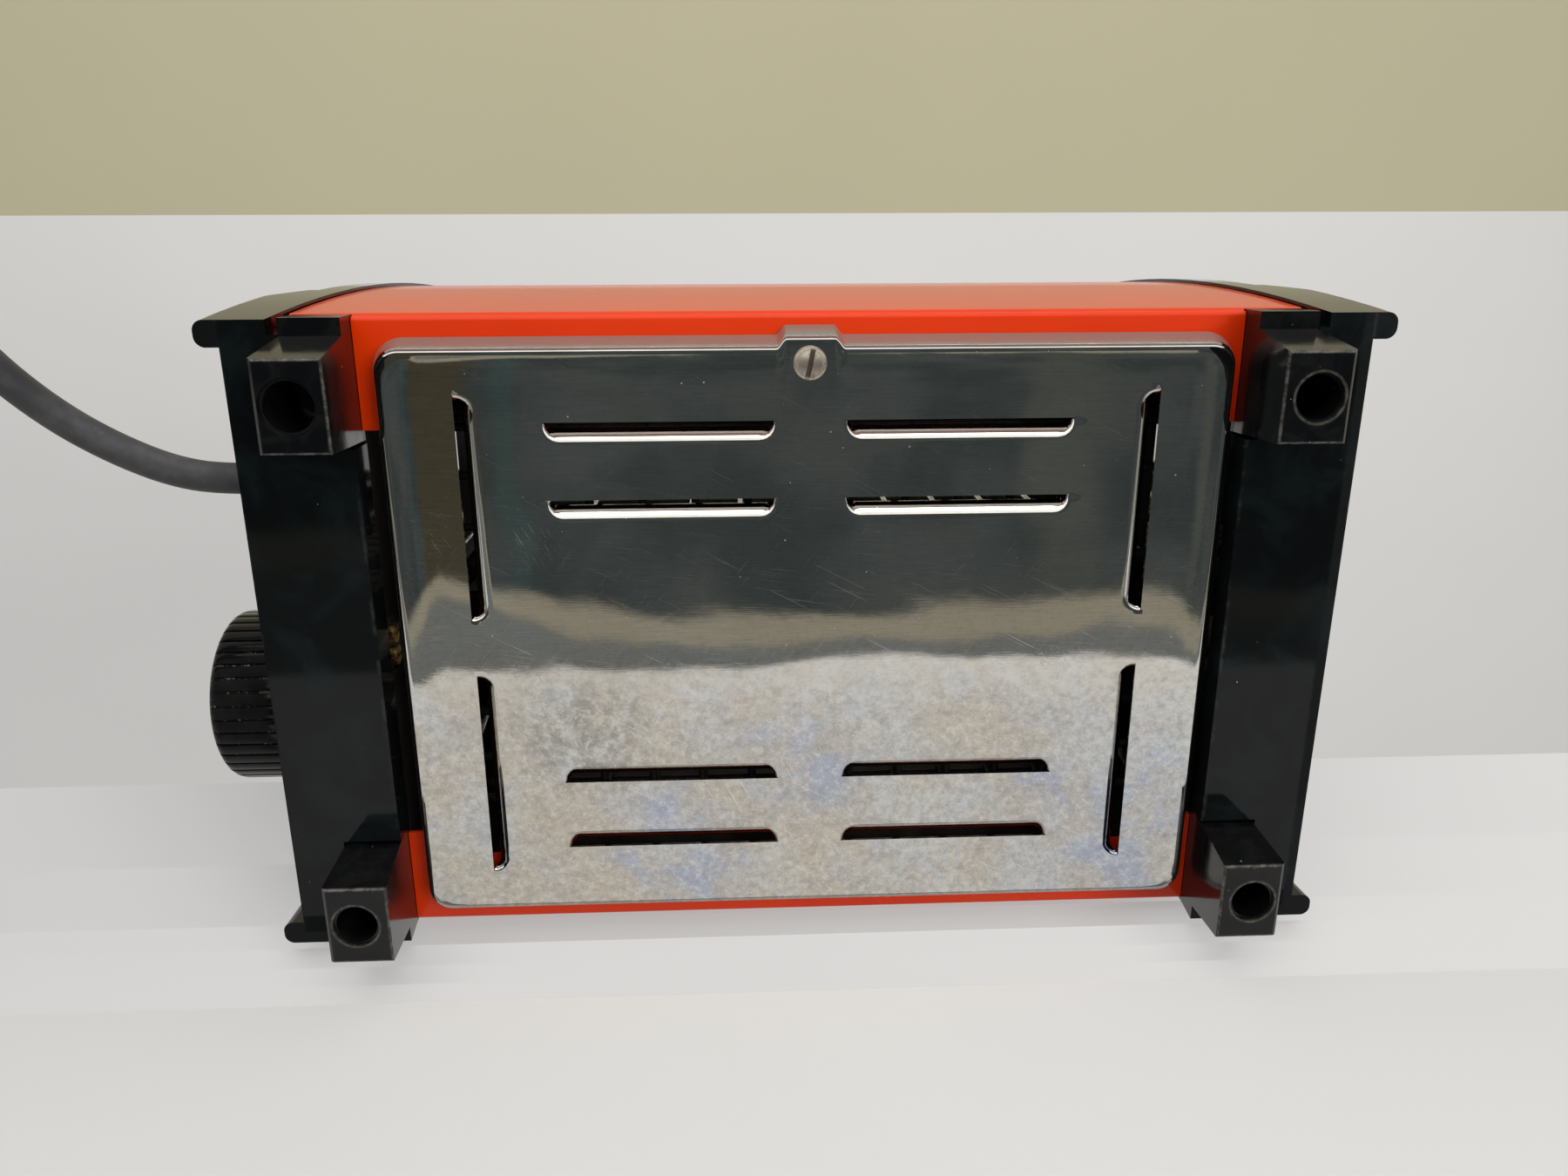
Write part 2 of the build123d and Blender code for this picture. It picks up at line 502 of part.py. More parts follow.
with BuildPart() as plate_nut:
    with BuildSketch(Plane.XY.offset(RAIL_Z + SHEET)):
        with Locations((PLATE_SCREW_X, PLATE_SCREW_Y)):
            RegularPolygon(NUT_W / 2, 6, major_radius=False)
            Circle(PLATE_SCREW_R, mode=Mode.SUBTRACT)
    extrude(amount=NUT_H)
save(plate_nut, "plate_nut")


# ---------------------------------------------------------------- end plates and hinge rods
def end_plate(window):
    """Steel plate at the +X end, between the middle of the toaster and an end cap."""
    with BuildPart() as plate:
        with BuildSketch(Plane.YZ.offset(RAIL_X)):
            with Locations((0, RAIL_Z + SEAT_GAP)):
                between_feet = 2 * (FOOT_ROOT_Y0 - END_PLATE_FOOT_GAP)
                Rectangle(between_feet, END_PLATE_WIDE_Z - RAIL_Z, align=(Align.CENTER, Align.MIN))
            with Locations((0, END_PLATE_WIDE_Z)):
                Rectangle(2 * END_PLATE_Y, END_PLATE_TOP - END_PLATE_WIDE_Z, align=(Align.CENTER, Align.MIN))
            if window:
                window_w, window_h = WINDOW_Y1 - WINDOW_Y0, WINDOW_Z1 - WINDOW_Z0
                with Locations((WINDOW_Y0, WINDOW_Z0)):
                    Rectangle(window_w, window_h, align=(Align.MIN, Align.MIN), mode=Mode.SUBTRACT)
        extrude(amount=STEEL)
    return plate


end_plate_timer = end_plate(window=True)
save(end_plate_timer, "end_plate_timer")

with BuildPart() as end_plate_plain:
    mirror(end_plate(window=False).part, about=Plane.YZ)
save(end_plate_plain, "end_plate_plain")

with BuildPart() as hinge_rod:
    with Locations(Location((0, HINGE_Y, HINGE_Z), (0, 90, 0))):
        Cylinder(ROD_R, 2 * (RIM_X + ROD_SEAT - SEAT_GAP))
both_sides(hinge_rod, "hinge_rod")

# ---------------------------------------------------------------- doors
with BuildPart() as door_skin:
    with BuildSketch(Plane.YZ.offset(-BODY_X)):
        with BuildLine():
            outer = side_arc(HINGE_Z, DOOR_TOP)
            inner = side_arc(HINGE_Z, DOOR_TOP, -SHEET)
            Line(outer @ 0, inner @ 0)
            Line(outer @ 1, inner @ 1)
        make_face()
        with Locations((HINGE_Y, HINGE_Z)):
            Circle(HEM_R)
            Circle(ROD_R + ROD_FIT, mode=Mode.SUBTRACT)
    extrude(amount=2 * BODY_X)
    flange_w = side_y(DOOR_TOP) - FLANGE_Y - SHEET / 2
    with Locations((0, FLANGE_Y, DOOR_TOP)):
        Box(2 * LINER_X, flange_w, SHEET, align=(Align.CENTER, Align.MIN, Align.MAX))
both_sides(door_skin, "door_skin")


def liner_outline(inset):
    """Cross-section of the door's inner box; its straight back lies behind the skin."""
    Polygon(
        (side_y(LINER_BOTTOM_Z) - SHEET - LINER_FIT + 3 * inset, LINER_BOTTOM_Z + inset),
        (LINER_FOOT_Y + inset, LINER_FOOT_Z + inset),
        (LINER_HEAD_Y + inset, LINER_HEAD_Z - inset),
        (side_y(LINER_HEAD_Z) - SHEET - LINER_FIT + 3 * inset, LINER_HEAD_Z - inset),
        align=None,
    )


with BuildPart() as door_liner:
    with BuildSketch(Plane.YZ.offset(-LINER_X)):
        liner_outline(0)
    extrude(amount=2 * LINER_X)
    with BuildSketch(Plane.YZ.offset(-LINER_X + STEEL)):
        liner_outline(STEEL)
    extrude(amount=2 * (LINER_X - STEEL), mode=Mode.SUBTRACT)
both_sides(door_liner, "door_liner")


def rack_y(z):
    """Distance of a rack wire's middle from the toaster's middle at height z."""
    slope = (LINER_HEAD_Y - LINER_FOOT_Y) / (LINER_HEAD_Z - LINER_FOOT_Z)
    return LINER_FOOT_Y + slope * (z - LINER_FOOT_Z) - RACK_OFF


with BuildPart() as door_rack:
    along = Vector(0, rack_y(RACK_Z1) - rack_y(RACK_Z0), RACK_Z1 - RACK_Z0)
    length = along.length
    with Locations(Plane(origin=(0, rack_y(RACK_Z0), RACK_Z0), x_dir=(1, 0, 0), z_dir=along)):
        with GridLocations(RACK_PITCH, 1, RACK_WIRES, 1):
            Cylinder(RACK_R, length, align=AHEAD)
        for share in RACK_CROSS_AT:
            with Locations(Location((0, RACK_CROSS, share * length), (0, 90, 0))):
                Cylinder(RACK_R, RACK_PITCH * (RACK_WIRES - 1) + 3 * RACK_R)
both_sides(door_rack, "door_rack")

with BuildPart() as door_ledge:
    ledge_back = rack_y(LEDGE_Z) + RACK_OFF - SEAT_SIDE
    with Locations(Plane(origin=(0, LEDGE_Y, LEDGE_Z), x_dir=(1, 0, 0), z_dir=(0, 1, 0))):
        with GridLocations(RACK_PITCH, 1, RACK_WIRES, 1):
            Cylinder(RACK_R, ledge_back - LEDGE_Y, align=AHEAD)
    for y in (LEDGE_Y + 2 * RACK_R, (LEDGE_Y + ledge_back) / 2, ledge_back - 3 * RACK_R):
        with Locations(Location((0, y, LEDGE_Z - RACK_CROSS), (0, 90, 0))):
            Cylinder(RACK_R, RACK_PITCH * (RACK_WIRES - 1) + 3 * RACK_R)
both_sides(door_ledge, "door_ledge")

with BuildPart() as door_handle:
    with Locations((0, HANDLE_Y0, DOOR_TOP)):
        Box(2 * HANDLE_X, HANDLE_Y1 - HANDLE_Y0, HANDLE_H, align=(Align.CENTER, Align.MIN, Align.MIN))
    fillet(door_handle.edges().filter_by(Axis.X).group_by(Axis.Z)[-1], 0.4 * HANDLE_H)
    fillet(door_handle.faces().sort_by(Axis.X)[0].edges().group_by(Axis.Z)[-1], 0.2 * HANDLE_H)
    fillet(door_handle.faces().sort_by(Axis.X)[-1].edges().group_by(Axis.Z)[-1], 0.2 * HANDLE_H)
both_sides(door_handle, "door_handle")

with BuildPart() as door_catches:
    with BuildPart(mode=Mode.PRIVATE) as catch:
        with Locations((RAIL_X, CATCH_Y, CATCH_Z)):
            Box(CATCH_T, CATCH_H / 2, CATCH_H, align=(Align.MAX, Align.CENTER, Align.CENTER))
        with Locations(Location((RAIL_X - CATCH_BUMP - SEAT_GAP, CATCH_Y, CATCH_Z), (90, 0, 0))):
            Cylinder(CATCH_BUMP, CATCH_H / 2)
    add(catch.part)
    mirror(catch.part, about=Plane.XZ)
    mirror(about=Plane.YZ)
save(door_catches, "door_catches")

# ---------------------------------------------------------------- heater
with BuildPart() as element_frame:
    with BuildSketch(Plane.XZ.offset(-FRAME_Y)):
        with Locations((0, (ELEMENT_Z0 + ELEMENT_Z1) / 2)):
            Rectangle(2 * ELEMENT_X, ELEMENT_Z1 - ELEMENT_Z0)
            Rectangle(2 * ELEMENT_X - 2 * FRAME_W, ELEMENT_Z1 - ELEMENT_Z0 - 2 * FRAME_W, mode=Mode.SUBTRACT)
    extrude(amount=2 * FRAME_Y)
    for z in (ELEMENT_Z0 + 3 * FRAME_W, ELEMENT_Z1 - 3 * FRAME_W):
        for sign in (1, -1):
            with Locations((sign * ELEMENT_X, 0, z)):
                Box(RAIL_X - ELEMENT_X, 2 * FRAME_Y, FRAME_W, align=(side(sign), Align.CENTER, Align.CENTER))
save(element_frame, "element_frame")

with BuildPart() as mica:
    with Locations((0, MICA_Y, (ELEMENT_Z0 + ELEMENT_Z1) / 2)):
        Box(
            2 * (ELEMENT_X - FRAME_W),
            MICA_T,
            ELEMENT_Z1 - ELEMENT_Z0 - 2 * FRAME_W,
            align=(Align.CENTER, Align.MAX, Align.CENTER),
        )
both_sides(mica, "mica")

with BuildPart() as heater_ribbon:
    winding_z = ELEMENT_Z0 + FRAME_W + RIBBON_MARGIN
    pitch = (ELEMENT_Z1 - FRAME_W - RIBBON_MARGIN - RIBBON_H - winding_z) / (RIBBON_N - 1)
    for turn in range(RIBBON_N):
        z = winding_z + turn * pitch
        with Locations((0, MICA_Y, z)):
            Box(2 * RIBBON_X, RIBBON_T, RIBBON_H, align=(Align.CENTER, Align.MIN, Align.MIN))
        if turn < RIBBON_N - 1:
            sign = 1 if turn % 2 else -1
            with Locations((sign * RIBBON_X, MICA_Y, z)):
                Box(RIBBON_H, RIBBON_T, pitch + RIBBON_H, align=(side(-sign), Align.MIN, Align.MIN))
both_sides(heater_ribbon, "heater_ribbon")

with BuildPart() as guard:
    with Locations((0, GUARD_Y, GUARD_Z0)):
        with GridLocations(GUARD_PITCH, 1, GUARD_N, 1):
            Cylinder(GUARD_R, GUARD_Z1 - GUARD_Z0, align=AHEAD)
    for z in (GUARD_Z0, GUARD_Z1):
        with Locations(Location((0, GUARD_Y, z), (0, 90, 0))):
            Cylinder(GUARD_RAIL_R, 2 * RAIL_X)
both_sides(guard, "guard")

with BuildPart() as top_cover:
    with Locations((0, 0, TOP_COVER_Z)):
        Box(2 * RAIL_X, 2 * TOP_COVER_Y, TOP_COVER_H, align=AHEAD)
    fillet(top_cover.edges().filter_by(Axis.X).group_by(Axis.Z)[-1], 0.4 * TOP_COVER_H)
    with Locations((0, 0, TOP_COVER_Z)):
        Box(
            2 * RAIL_X,
            2 * (TOP_COVER_Y - STEEL),
            TOP_COVER_H - 3 * STEEL,
            align=AHEAD,
            mode=Mode.SUBTRACT,
        )
save(top_cover, "top_cover")


# ---------------------------------------------------------------- timer
def on_axis(x):
    """Place on the timer's axis at x, with local Z along +X."""
    return Locations(Location((x, KNOB_Y, KNOB_Z), (0, 90, 0)))


with BuildPart() as timer_case:
    with on_axis(TIMER_X0):
        Cylinder(TIMER_R, WALL_IN - TIMER_X0 - SHAFT_R, align=AHEAD)
    fillet(timer_case.faces().sort_by(Axis.X)[0].edges(), TIMER_EDGE_R)
    with on_axis(TIMER_X0):
        Cylinder(2 * SHAFT_R, WALL_IN - TIMER_X0, align=AHEAD)
        Cylinder(SHAFT_R + SHAFT_FIT, WALL_IN - TIMER_X0, align=AHEAD, mode=Mode.SUBTRACT)
save(timer_case, "timer_case")

with BuildPart() as timer_shaft:
    with on_axis(SHAFT_X0):
        Cylinder(SHAFT_R, KNOB_X0 + SHAFT_IN_KNOB - SHAFT_X0, align=AHEAD)
save(timer_shaft, "timer_shaft")

with BuildPart() as timer_cam:
    with on_axis(CAM_X0):
        Cylinder(CAM_R, CAM_T, align=AHEAD)
        Cylinder(SHAFT_R, CAM_T, align=AHEAD, mode=Mode.SUBTRACT)
        with Locations((CAM_R, 0, 0)):
            Cylinder(CAM_NOTCH, CAM_T, align=AHEAD, mode=Mode.SUBTRACT)
save(timer_cam, "timer_cam")

with BuildPart() as timer_knob:
    with on_axis(KNOB_X0):
        Cylinder(KNOB_R, KNOB_X1 - KNOB_X0, align=AHEAD)
    fillet(timer_knob.faces().sort_by(Axis.X)[-1].edges(), KNOB_RIM)
    chamfer(timer_knob.faces().sort_by(Axis.X)[0].edges(), KNOB_GROOVE / 2)
    with on_axis(KNOB_X0):
        Cylinder(SHAFT_R, SHAFT_IN_KNOB, align=AHEAD, mode=Mode.SUBTRACT)
        with PolarLocations(KNOB_R, KNOB_RIBS):
            Box(2 * KNOB_GROOVE, KNOB_GROOVE, 2 * (KNOB_X1 - KNOB_X0 - KNOB_RIM), mode=Mode.SUBTRACT)
save(timer_knob, "timer_knob")

with BuildPart() as timer_switch:
    with Locations((CAM_X0 + CAM_T / 2, KNOB_Y - CAM_R - BLADE_GAP, KNOB_Z)):
        Box(BLADE_W, BLADE_T, 2 * CAM_R, align=(Align.CENTER, Align.MAX, Align.CENTER))
    with Locations((END_X, KNOB_Y - CAM_R - BLADE_GAP, KNOB_Z + CAM_R)):
        Box(2 * BLADE_W, 4 * BLADE_W, 3 * BLADE_W, align=FROM_END)
save(timer_switch, "timer_switch")

bell_plane = Plane(origin=(BELL_X0, BELL_Y, BELL_Z), x_dir=(1, 0, 0), z_dir=(0, 0, 1))
with BuildPart() as bell:
    with BuildSketch(bell_plane):
        with BuildLine():
            bulge_x, bulge_r = BELL_BULGE * BELL_H, BELL_BULGE * BELL_R
            crown = ThreePointArc((BELL_H, 0), (bulge_x, bulge_r), (0, BELL_R))
            inner_bulge = (bulge_x - BELL_T, bulge_r - BELL_T)
            under = ThreePointArc((BELL_H - BELL_T, 0), inner_bulge, (0, BELL_R - BELL_T))
            Line(crown @ 0, under @ 0)
            Line(crown @ 1, under @ 1)
        make_face()
    revolve(axis=Axis((BELL_X0, BELL_Y, BELL_Z), (1, 0, 0)))
save(bell, "bell")

with BuildPart() as bell_post:
    with Locations(Location((END_X, BELL_Y, BELL_Z), (0, 90, 0))):
        Cylinder(2 * BELL_T, BELL_GAP + BELL_H - BELL_T - SEAT_GAP, align=AHEAD)
save(bell_post, "bell_post")

# ---------------------------------------------------------------- wiring
with BuildPart() as terminal_block:
    with Locations((END_X, BLOCK_Y0, BLOCK_Z0)):
        Box(BLOCK_T, BLOCK_L, BLOCK_H, align=(Align.MIN, Align.MIN, Align.MIN))
save(terminal_block, "terminal_block")

with BuildPart() as terminals:
    for y in (BLOCK_Y0 + TERMINAL_R + TERMINAL_EDGE, BLOCK_Y0 + 3 * TERMINAL_R + 2 * TERMINAL_EDGE):
        with Locations(Location((END_X, y, BLOCK_Z0 + TERMINAL_R + TERMINAL_EDGE), (0, -90, 0))):
            Cylinder(TERMINAL_R, TERMINAL_H, align=AHEAD)
            with Locations((0, 0, TERMINAL_H)):
                Box(3 * TERMINAL_R, TERMINAL_R / 3, TERMINAL_H / 2, mode=Mode.SUBTRACT)
save(terminals, "terminals")


def tube(points, bend, radius):
    """Round bar along straight runs joined by arcs; bend is one radius, or one for each corner."""
    with BuildPart() as bar:
        with BuildLine():
            path = FilletPolyline(*points, radius=bend)
        with BuildSketch(Plane(origin=path @ 0, z_dir=path % 0)):
            Circle(radius)
        sweep(path=path)
    return bar


for name, (out_y, out_z) in (("lead_live", LIVE_AT), ("lead_neutral", NEUTRAL_AT)):
    y, z = CORD_Y + out_y, CORD_Z + out_z
    save(tube([(JACKET_X0, y, z), (LEAD_X, y, z), (LEAD_X, BLOCK_Y0 + BLOCK_L, z)], 2 * LEAD_R, LEAD_R), name)

with BuildPart() as lead_earth:
    with Locations(Location((END_X, CORD_Y + EARTH_AT[0], CORD_Z + EARTH_AT[1]), (0, 90, 0))):
        Cylinder(LEAD_R, JACKET_X0 - END_X, align=AHEAD)
save(lead_earth, "lead_earth")

with BuildPart() as heater_leads:
    for y in (-FRAME_Y / 2 - LEAD_R / 2, FRAME_Y / 2 + LEAD_R / 2):
        corner = (LEAD_X, y, WINDOW_Z1 - 2 * LEAD_R)
        route = [(LEAD_X, y, BLOCK_Z0 + BLOCK_H), corner, (ELEMENT_X, y, corner[2])]
        add(tube(route, 2 * LEAD_R, LEAD_R / 2).part)
save(heater_leads, "heater_leads")

with BuildPart() as cord_gland:
    with BuildSketch(Plane(origin=(WALL_IN, CORD_Y, CORD_Z), x_dir=(1, 0, 0), z_dir=(0, 0, 1))):
        Polygon(
            (-GLAND_FLANGE_T, 0),
            (-GLAND_FLANGE_T, GLAND_FLANGE_R),
            (0, GLAND_FLANGE_R),
            (0, GLAND_R - GLAND_FIT),
            (CAP_WALL, GLAND_R - GLAND_FIT),
            (CAP_WALL + GLAND_OUT, GLAND_TIP_R),
            (CAP_WALL + GLAND_OUT, 0),
            align=None,
        )
    revolve(axis=Axis((0, CORD_Y, CORD_Z), (1, 0, 0)))
save(cord_gland, "cord_gland")

with BuildPart() as cord_jacket_end:
    with Locations(Location((JACKET_X0, CORD_Y, CORD_Z), (0, 90, 0))):
        Cylinder(CORD_D / 2, WALL_IN - GLAND_FLANGE_T - JACKET_X0, align=AHEAD)
save(cord_jacket_end, "cord_jacket_end")

with BuildPart() as cord_clamp:
    clamp_z = STRIP_Z + STRIP_T
    with Locations((JACKET_X0 + CLAMP_BACK, CORD_Y, clamp_z)):
        Box(CLAMP_L, CLAMP_W, CORD_Z + CORD_D - clamp_z, align=FROM_END)
    with Locations(Location((JACKET_X0, CORD_Y, CORD_Z), (0, 90, 0))):
        Cylinder(CORD_D / 2, 2 * CLAMP_L, align=AHEAD, mode=Mode.SUBTRACT)
save(cord_clamp, "cord_clamp")

# ---------------------------------------------------------------- cord
# Its route from the gland, falling to the standing surface, to where it joins the coil.
ROUTE = [
    (CAP_X + GLAND_OUT, CORD_Y, CORD_Z),
    (128.7, CORD_Y, CORD_Z),
    (138.5, 38.1, 33.1),
    (149.3, 43.1, 32.7),
    (158.6, 50.3, 30.0),
    (165.2, 60.5, 23.5),
    (168.0, 72.0, 14.5),
    (168.4, 82.2, 7.4),
    (COIL_X - COIL_R - CORD_D, COIL_Y, TIE_T + CORD_D / 2),
]


def bends(points):
    """Largest easy radius at each corner of a route."""
    radii = []
    for before, here, after in zip(points, points[1:], points[2:]):
        into = Vector(here) - Vector(before)
        out = Vector(after) - Vector(here)
        turn = into.get_angle(out)
        radii.append(0.45 * min(into.length, out.length) / tan(radians(turn) / 2))
    return radii


cord_radii = bends(ROUTE)
print("cord radii", [round(radius, 1) for radius in cord_radii])
power_cord = tube(ROUTE, cord_radii, CORD_D / 2)
save(power_cord, "power_cord")

with BuildPart() as power_cord_coil:
    with BuildSketch(Plane.XZ) as coil_section:
        with Locations((COIL_R, TIE_T)):
            Rectangle(COIL_TURNS_WIDE * CORD_D, COIL_LAYERS * CORD_D, align=(Align.CENTER, Align.MIN))
        fillet(coil_section.vertices(), COIL_EDGE_R)
    revolve(axis=Axis.Z)
    power_cord_coil.part = Location((COIL_X, COIL_Y, 0)) * power_cord_coil.part
save(power_cord_coil, "power_cord_coil")

tail_x = COIL_X + COIL_R + CORD_D
plug_y = COIL_Y - TAIL_L
with BuildPart() as power_cord_tail:
    with Locations(Location((tail_x, COIL_Y, TIE_T + CORD_D / 2), (90, 0, 0))):
        Cylinder(CORD_D / 2, TAIL_L, align=AHEAD)
save(power_cord_tail, "power_cord_tail")

with BuildPart() as cord_ties:
    for y_sign in (1, -1):
        with Locations((COIL_X, COIL_Y + y_sign * COIL_R, 0)):
            Box(
                TIE_W,
                COIL_TURNS_WIDE * CORD_D + 2 * TIE_T + SEAT_SIDE,
                COIL_LAYERS * CORD_D + 2 * TIE_T,
                align=AHEAD,
            )
    add(power_cord_coil.part, mode=Mode.SUBTRACT)
save(cord_ties, "cord_ties")

with BuildPart() as plug_body:
    with Locations((tail_x, plug_y, 0)):
        Box(PLUG_W, PLUG_L, PLUG_H, align=(Align.CENTER, Align.MAX, Align.MIN))
    fillet(plug_body.edges().filter_by(Axis.Y), 0.3 * PLUG_H)
    fillet(plug_body.faces().sort_by(Axis.Y)[-1].edges(), 0.2 * PLUG_H)
save(plug_body, "plug_body")

with BuildPart() as plug_pins:
    pin_z = PLUG_H / 2
    for x, z in ((-PLUG_PIN_PITCH / 2, pin_z), (PLUG_PIN_PITCH / 2, pin_z), (0, pin_z - PLUG_EARTH)):
        with Locations(Location((tail_x + x, plug_y - PLUG_L, z), (90, 0, 0))):
            Cylinder(PLUG_PIN_R, PLUG_PIN_L, align=AHEAD)
    fillet(plug_pins.faces().group_by(Axis.Y)[0].edges(), PLUG_PIN_R / 2)
save(plug_pins, "plug_pins")
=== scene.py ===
"""Drop side toaster, finished over its fixed frame.

The frame holds every solid at its real size. This file adds the camera, the cord, the pressed base plate,
the slotted screw, the ribbed knob, the plug, and a finish for every surface.
"""

import json
import math

import bmesh
import bpy
import numpy as np
from bpy.props import FloatProperty, FloatVectorProperty, IntProperty, PointerProperty
from mathutils import Matrix, Vector


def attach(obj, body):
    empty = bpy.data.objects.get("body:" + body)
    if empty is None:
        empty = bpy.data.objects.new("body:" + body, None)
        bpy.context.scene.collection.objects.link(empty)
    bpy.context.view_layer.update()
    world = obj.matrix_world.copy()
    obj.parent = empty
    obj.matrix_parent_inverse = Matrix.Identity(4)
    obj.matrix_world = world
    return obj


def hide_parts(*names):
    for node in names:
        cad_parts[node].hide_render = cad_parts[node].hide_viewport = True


bl_info = {
    "name": "Drop side toaster",
    "version": (1, 0, 0),
    "blender": (4, 5, 0),
    "location": "3D View > Sidebar > Toaster",
    "description": "Builds the visible pieces, finishes and stage of a drop side toaster",
    "category": "Object",
}

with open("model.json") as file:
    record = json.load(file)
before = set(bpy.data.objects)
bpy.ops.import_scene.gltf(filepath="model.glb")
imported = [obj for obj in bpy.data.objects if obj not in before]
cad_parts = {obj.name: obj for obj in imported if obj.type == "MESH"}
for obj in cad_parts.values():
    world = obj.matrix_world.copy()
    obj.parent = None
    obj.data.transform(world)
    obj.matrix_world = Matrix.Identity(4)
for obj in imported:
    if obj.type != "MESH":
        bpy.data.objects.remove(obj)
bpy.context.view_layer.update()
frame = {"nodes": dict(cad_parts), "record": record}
MM = 0.001

# The cord's route from the gland to the coil, in metres
ROUTE = [
    (0.1205, 0.0362, 0.0330),
    (0.1287, 0.0362, 0.0330),
    (0.1385, 0.0381, 0.0331),
    (0.1493, 0.0431, 0.0327),
    (0.1586, 0.0503, 0.0300),
    (0.1652, 0.0605, 0.0235),
    (0.1680, 0.0720, 0.0145),
    (0.1684, 0.0822, 0.0074),
    (0.1685, 0.0920, 0.0043),
]
# The coil: its middle in metres, then each turn's radius and height in millimetres, and the share of the turn
# over which it moves to the next
COIL_CENTRE = (0.2140, 0.0920)
COIL_TRACKS = [(44.7, 4.3), (37.7, 4.3), (30.7, 4.3), (30.7, 11.3), (37.7, 11.3), (44.7, 11.3)]
COIL_SHIFTS = [(0.7, 0.9), (0.7, 0.9), (0.5, 0.7), (0.3, 0.5), (0.3, 0.5)]
COIL_STEPS = 20
COIL_TURNS = 5.5
# From the coil to the plug, in metres
TAIL = [
    (0.2590, 0.0820, 0.0111),
    (0.2593, 0.0700, 0.0098),
    (0.2595, 0.0560, 0.0083),
    (0.2595, 0.0420, 0.0077),
    (0.2595, 0.0280, 0.0075),
    (0.2595, 0.0110, 0.0075),
    (0.2595, -0.0060, 0.0075),
]

# The base plate, in millimetres. Its flat ends where the bend to the wall begins.
PLATE_X, PLATE_Y, PLATE_SHIFT, PLATE_Z, PLATE_RIM_Z = 89.4, 65.1, -0.9, 20.3, 25.3
PLATE_CORNER, PLATE_EDGE_R, PLATE_FLARE = 4.0, 1.4, 1.9
PLATE_BEND = 8.0  # width of the strip that bends before the edge
PLATE_LEAN = math.atan2(PLATE_RIM_Z - PLATE_Z, PLATE_FLARE)
PLATE_INSET = PLATE_EDGE_R * math.tan(PLATE_LEAN / 2)
FLAT_X, FLAT_Y = PLATE_X - PLATE_INSET, PLATE_Y - PLATE_INSET
TAB_HALF, TAB_FLANK, TAB_OUT, TAB_DEEP = 5.0, 2.2, 2.0, 2.6
LOUVRE_W, LOUVRE_LIP, LOUVRE_END_R = 4.4, 3.0, 3.4
LOUVRE_RAMP = 2.0  # length over which a louvre's end opens
LOUVRE_ROWS, LOUVRE_ENDS = (49.7, 33.1), (7.2, 56.5)
SIDE_ROW, SIDE_ENDS = 74.2, (6.3, 55.6)
TOUCHING = 1e-6  # a grid point this near to a line is on it

# Its screw, the end caps' edges, the feet's lower faces and bores, the knob and the plug, in millimetres
SCREW_AT, SCREW_R, SCREW_HEAD = (-0.7, 61.6), 3.5, 1.6
SLOT_BOX, SLOT_TURN = (9.0, 1.05, 1.8), 102  # what is cut from the head, and its turn in degrees
SCREW_LOW = PLATE_Z - SCREW_HEAD
CAP_INNER_X, CAP_OUTER_X, CAP_UNDERSIDE_Z = 93.4, 117.5, 17.2
FOOT_X, FOOT_Y, BORE_AT, BORE_RIM_R = (92.0, 105.4), (47.3, 65.0), (99.1, 56.2), 5.15
KNOB_AXIS, KNOB_BACK, KNOB_FRONT, KNOB_R = (-18.0, 41.5), 118.3, 134.3, 20.0
KNOB_BORE_R = 3.05
DIAL_X, DIAL_R = 117.47, 23.2  # place and radius of the marks round the knob
PLUG_X, PLUG_Z, PLUG_FACE, PLUG_END = 259.5, 7.5, -42.0, -6.0
GRIP_COUNT, GRIP_PITCH, GRIP_REACH = 5, 2.0, 12.55

# Marks on the base plate: the middle of each in X and Y, and its radius, in millimetres
BLUED = ((-67.0, -45.0, 36.0), (1.0, -27.0, 20.0), (29.0, -51.0, 22.0))
SCUFFED = ((79.0, 25.0, 5.0), (59.0, 24.0, 8.0), (-58.0, -8.0, 9.0), (30.0, -36.0, 12.0))
DUSKY = (50.0, -20.0, 20.0)
DULL_TO, POLISHED_FROM = -20.0, 4.0  # the plate is dull below the first Y, and polished above the second

# The camera's place in metres, its directions, and the width of its film in millimetres
CAMERA_AT = (0.01484, 0.08612, -0.21715)
CAMERA_RIGHT = (-0.99907, -0.00365, -0.04296)
CAMERA_UP = (-0.01614, 0.95567, 0.29399)
CAMERA_AHEAD = (-0.03998, -0.29441, 0.95484)
FILM_WIDTH = 36.0
NEAREST = 0.005  # metres before the camera in which nothing is drawn
# The upright ground beside the toaster's front: its Y, and the mean height of its lower edge, in metres
GROUND_Y, GROUND_EDGE = -0.0756, -0.165


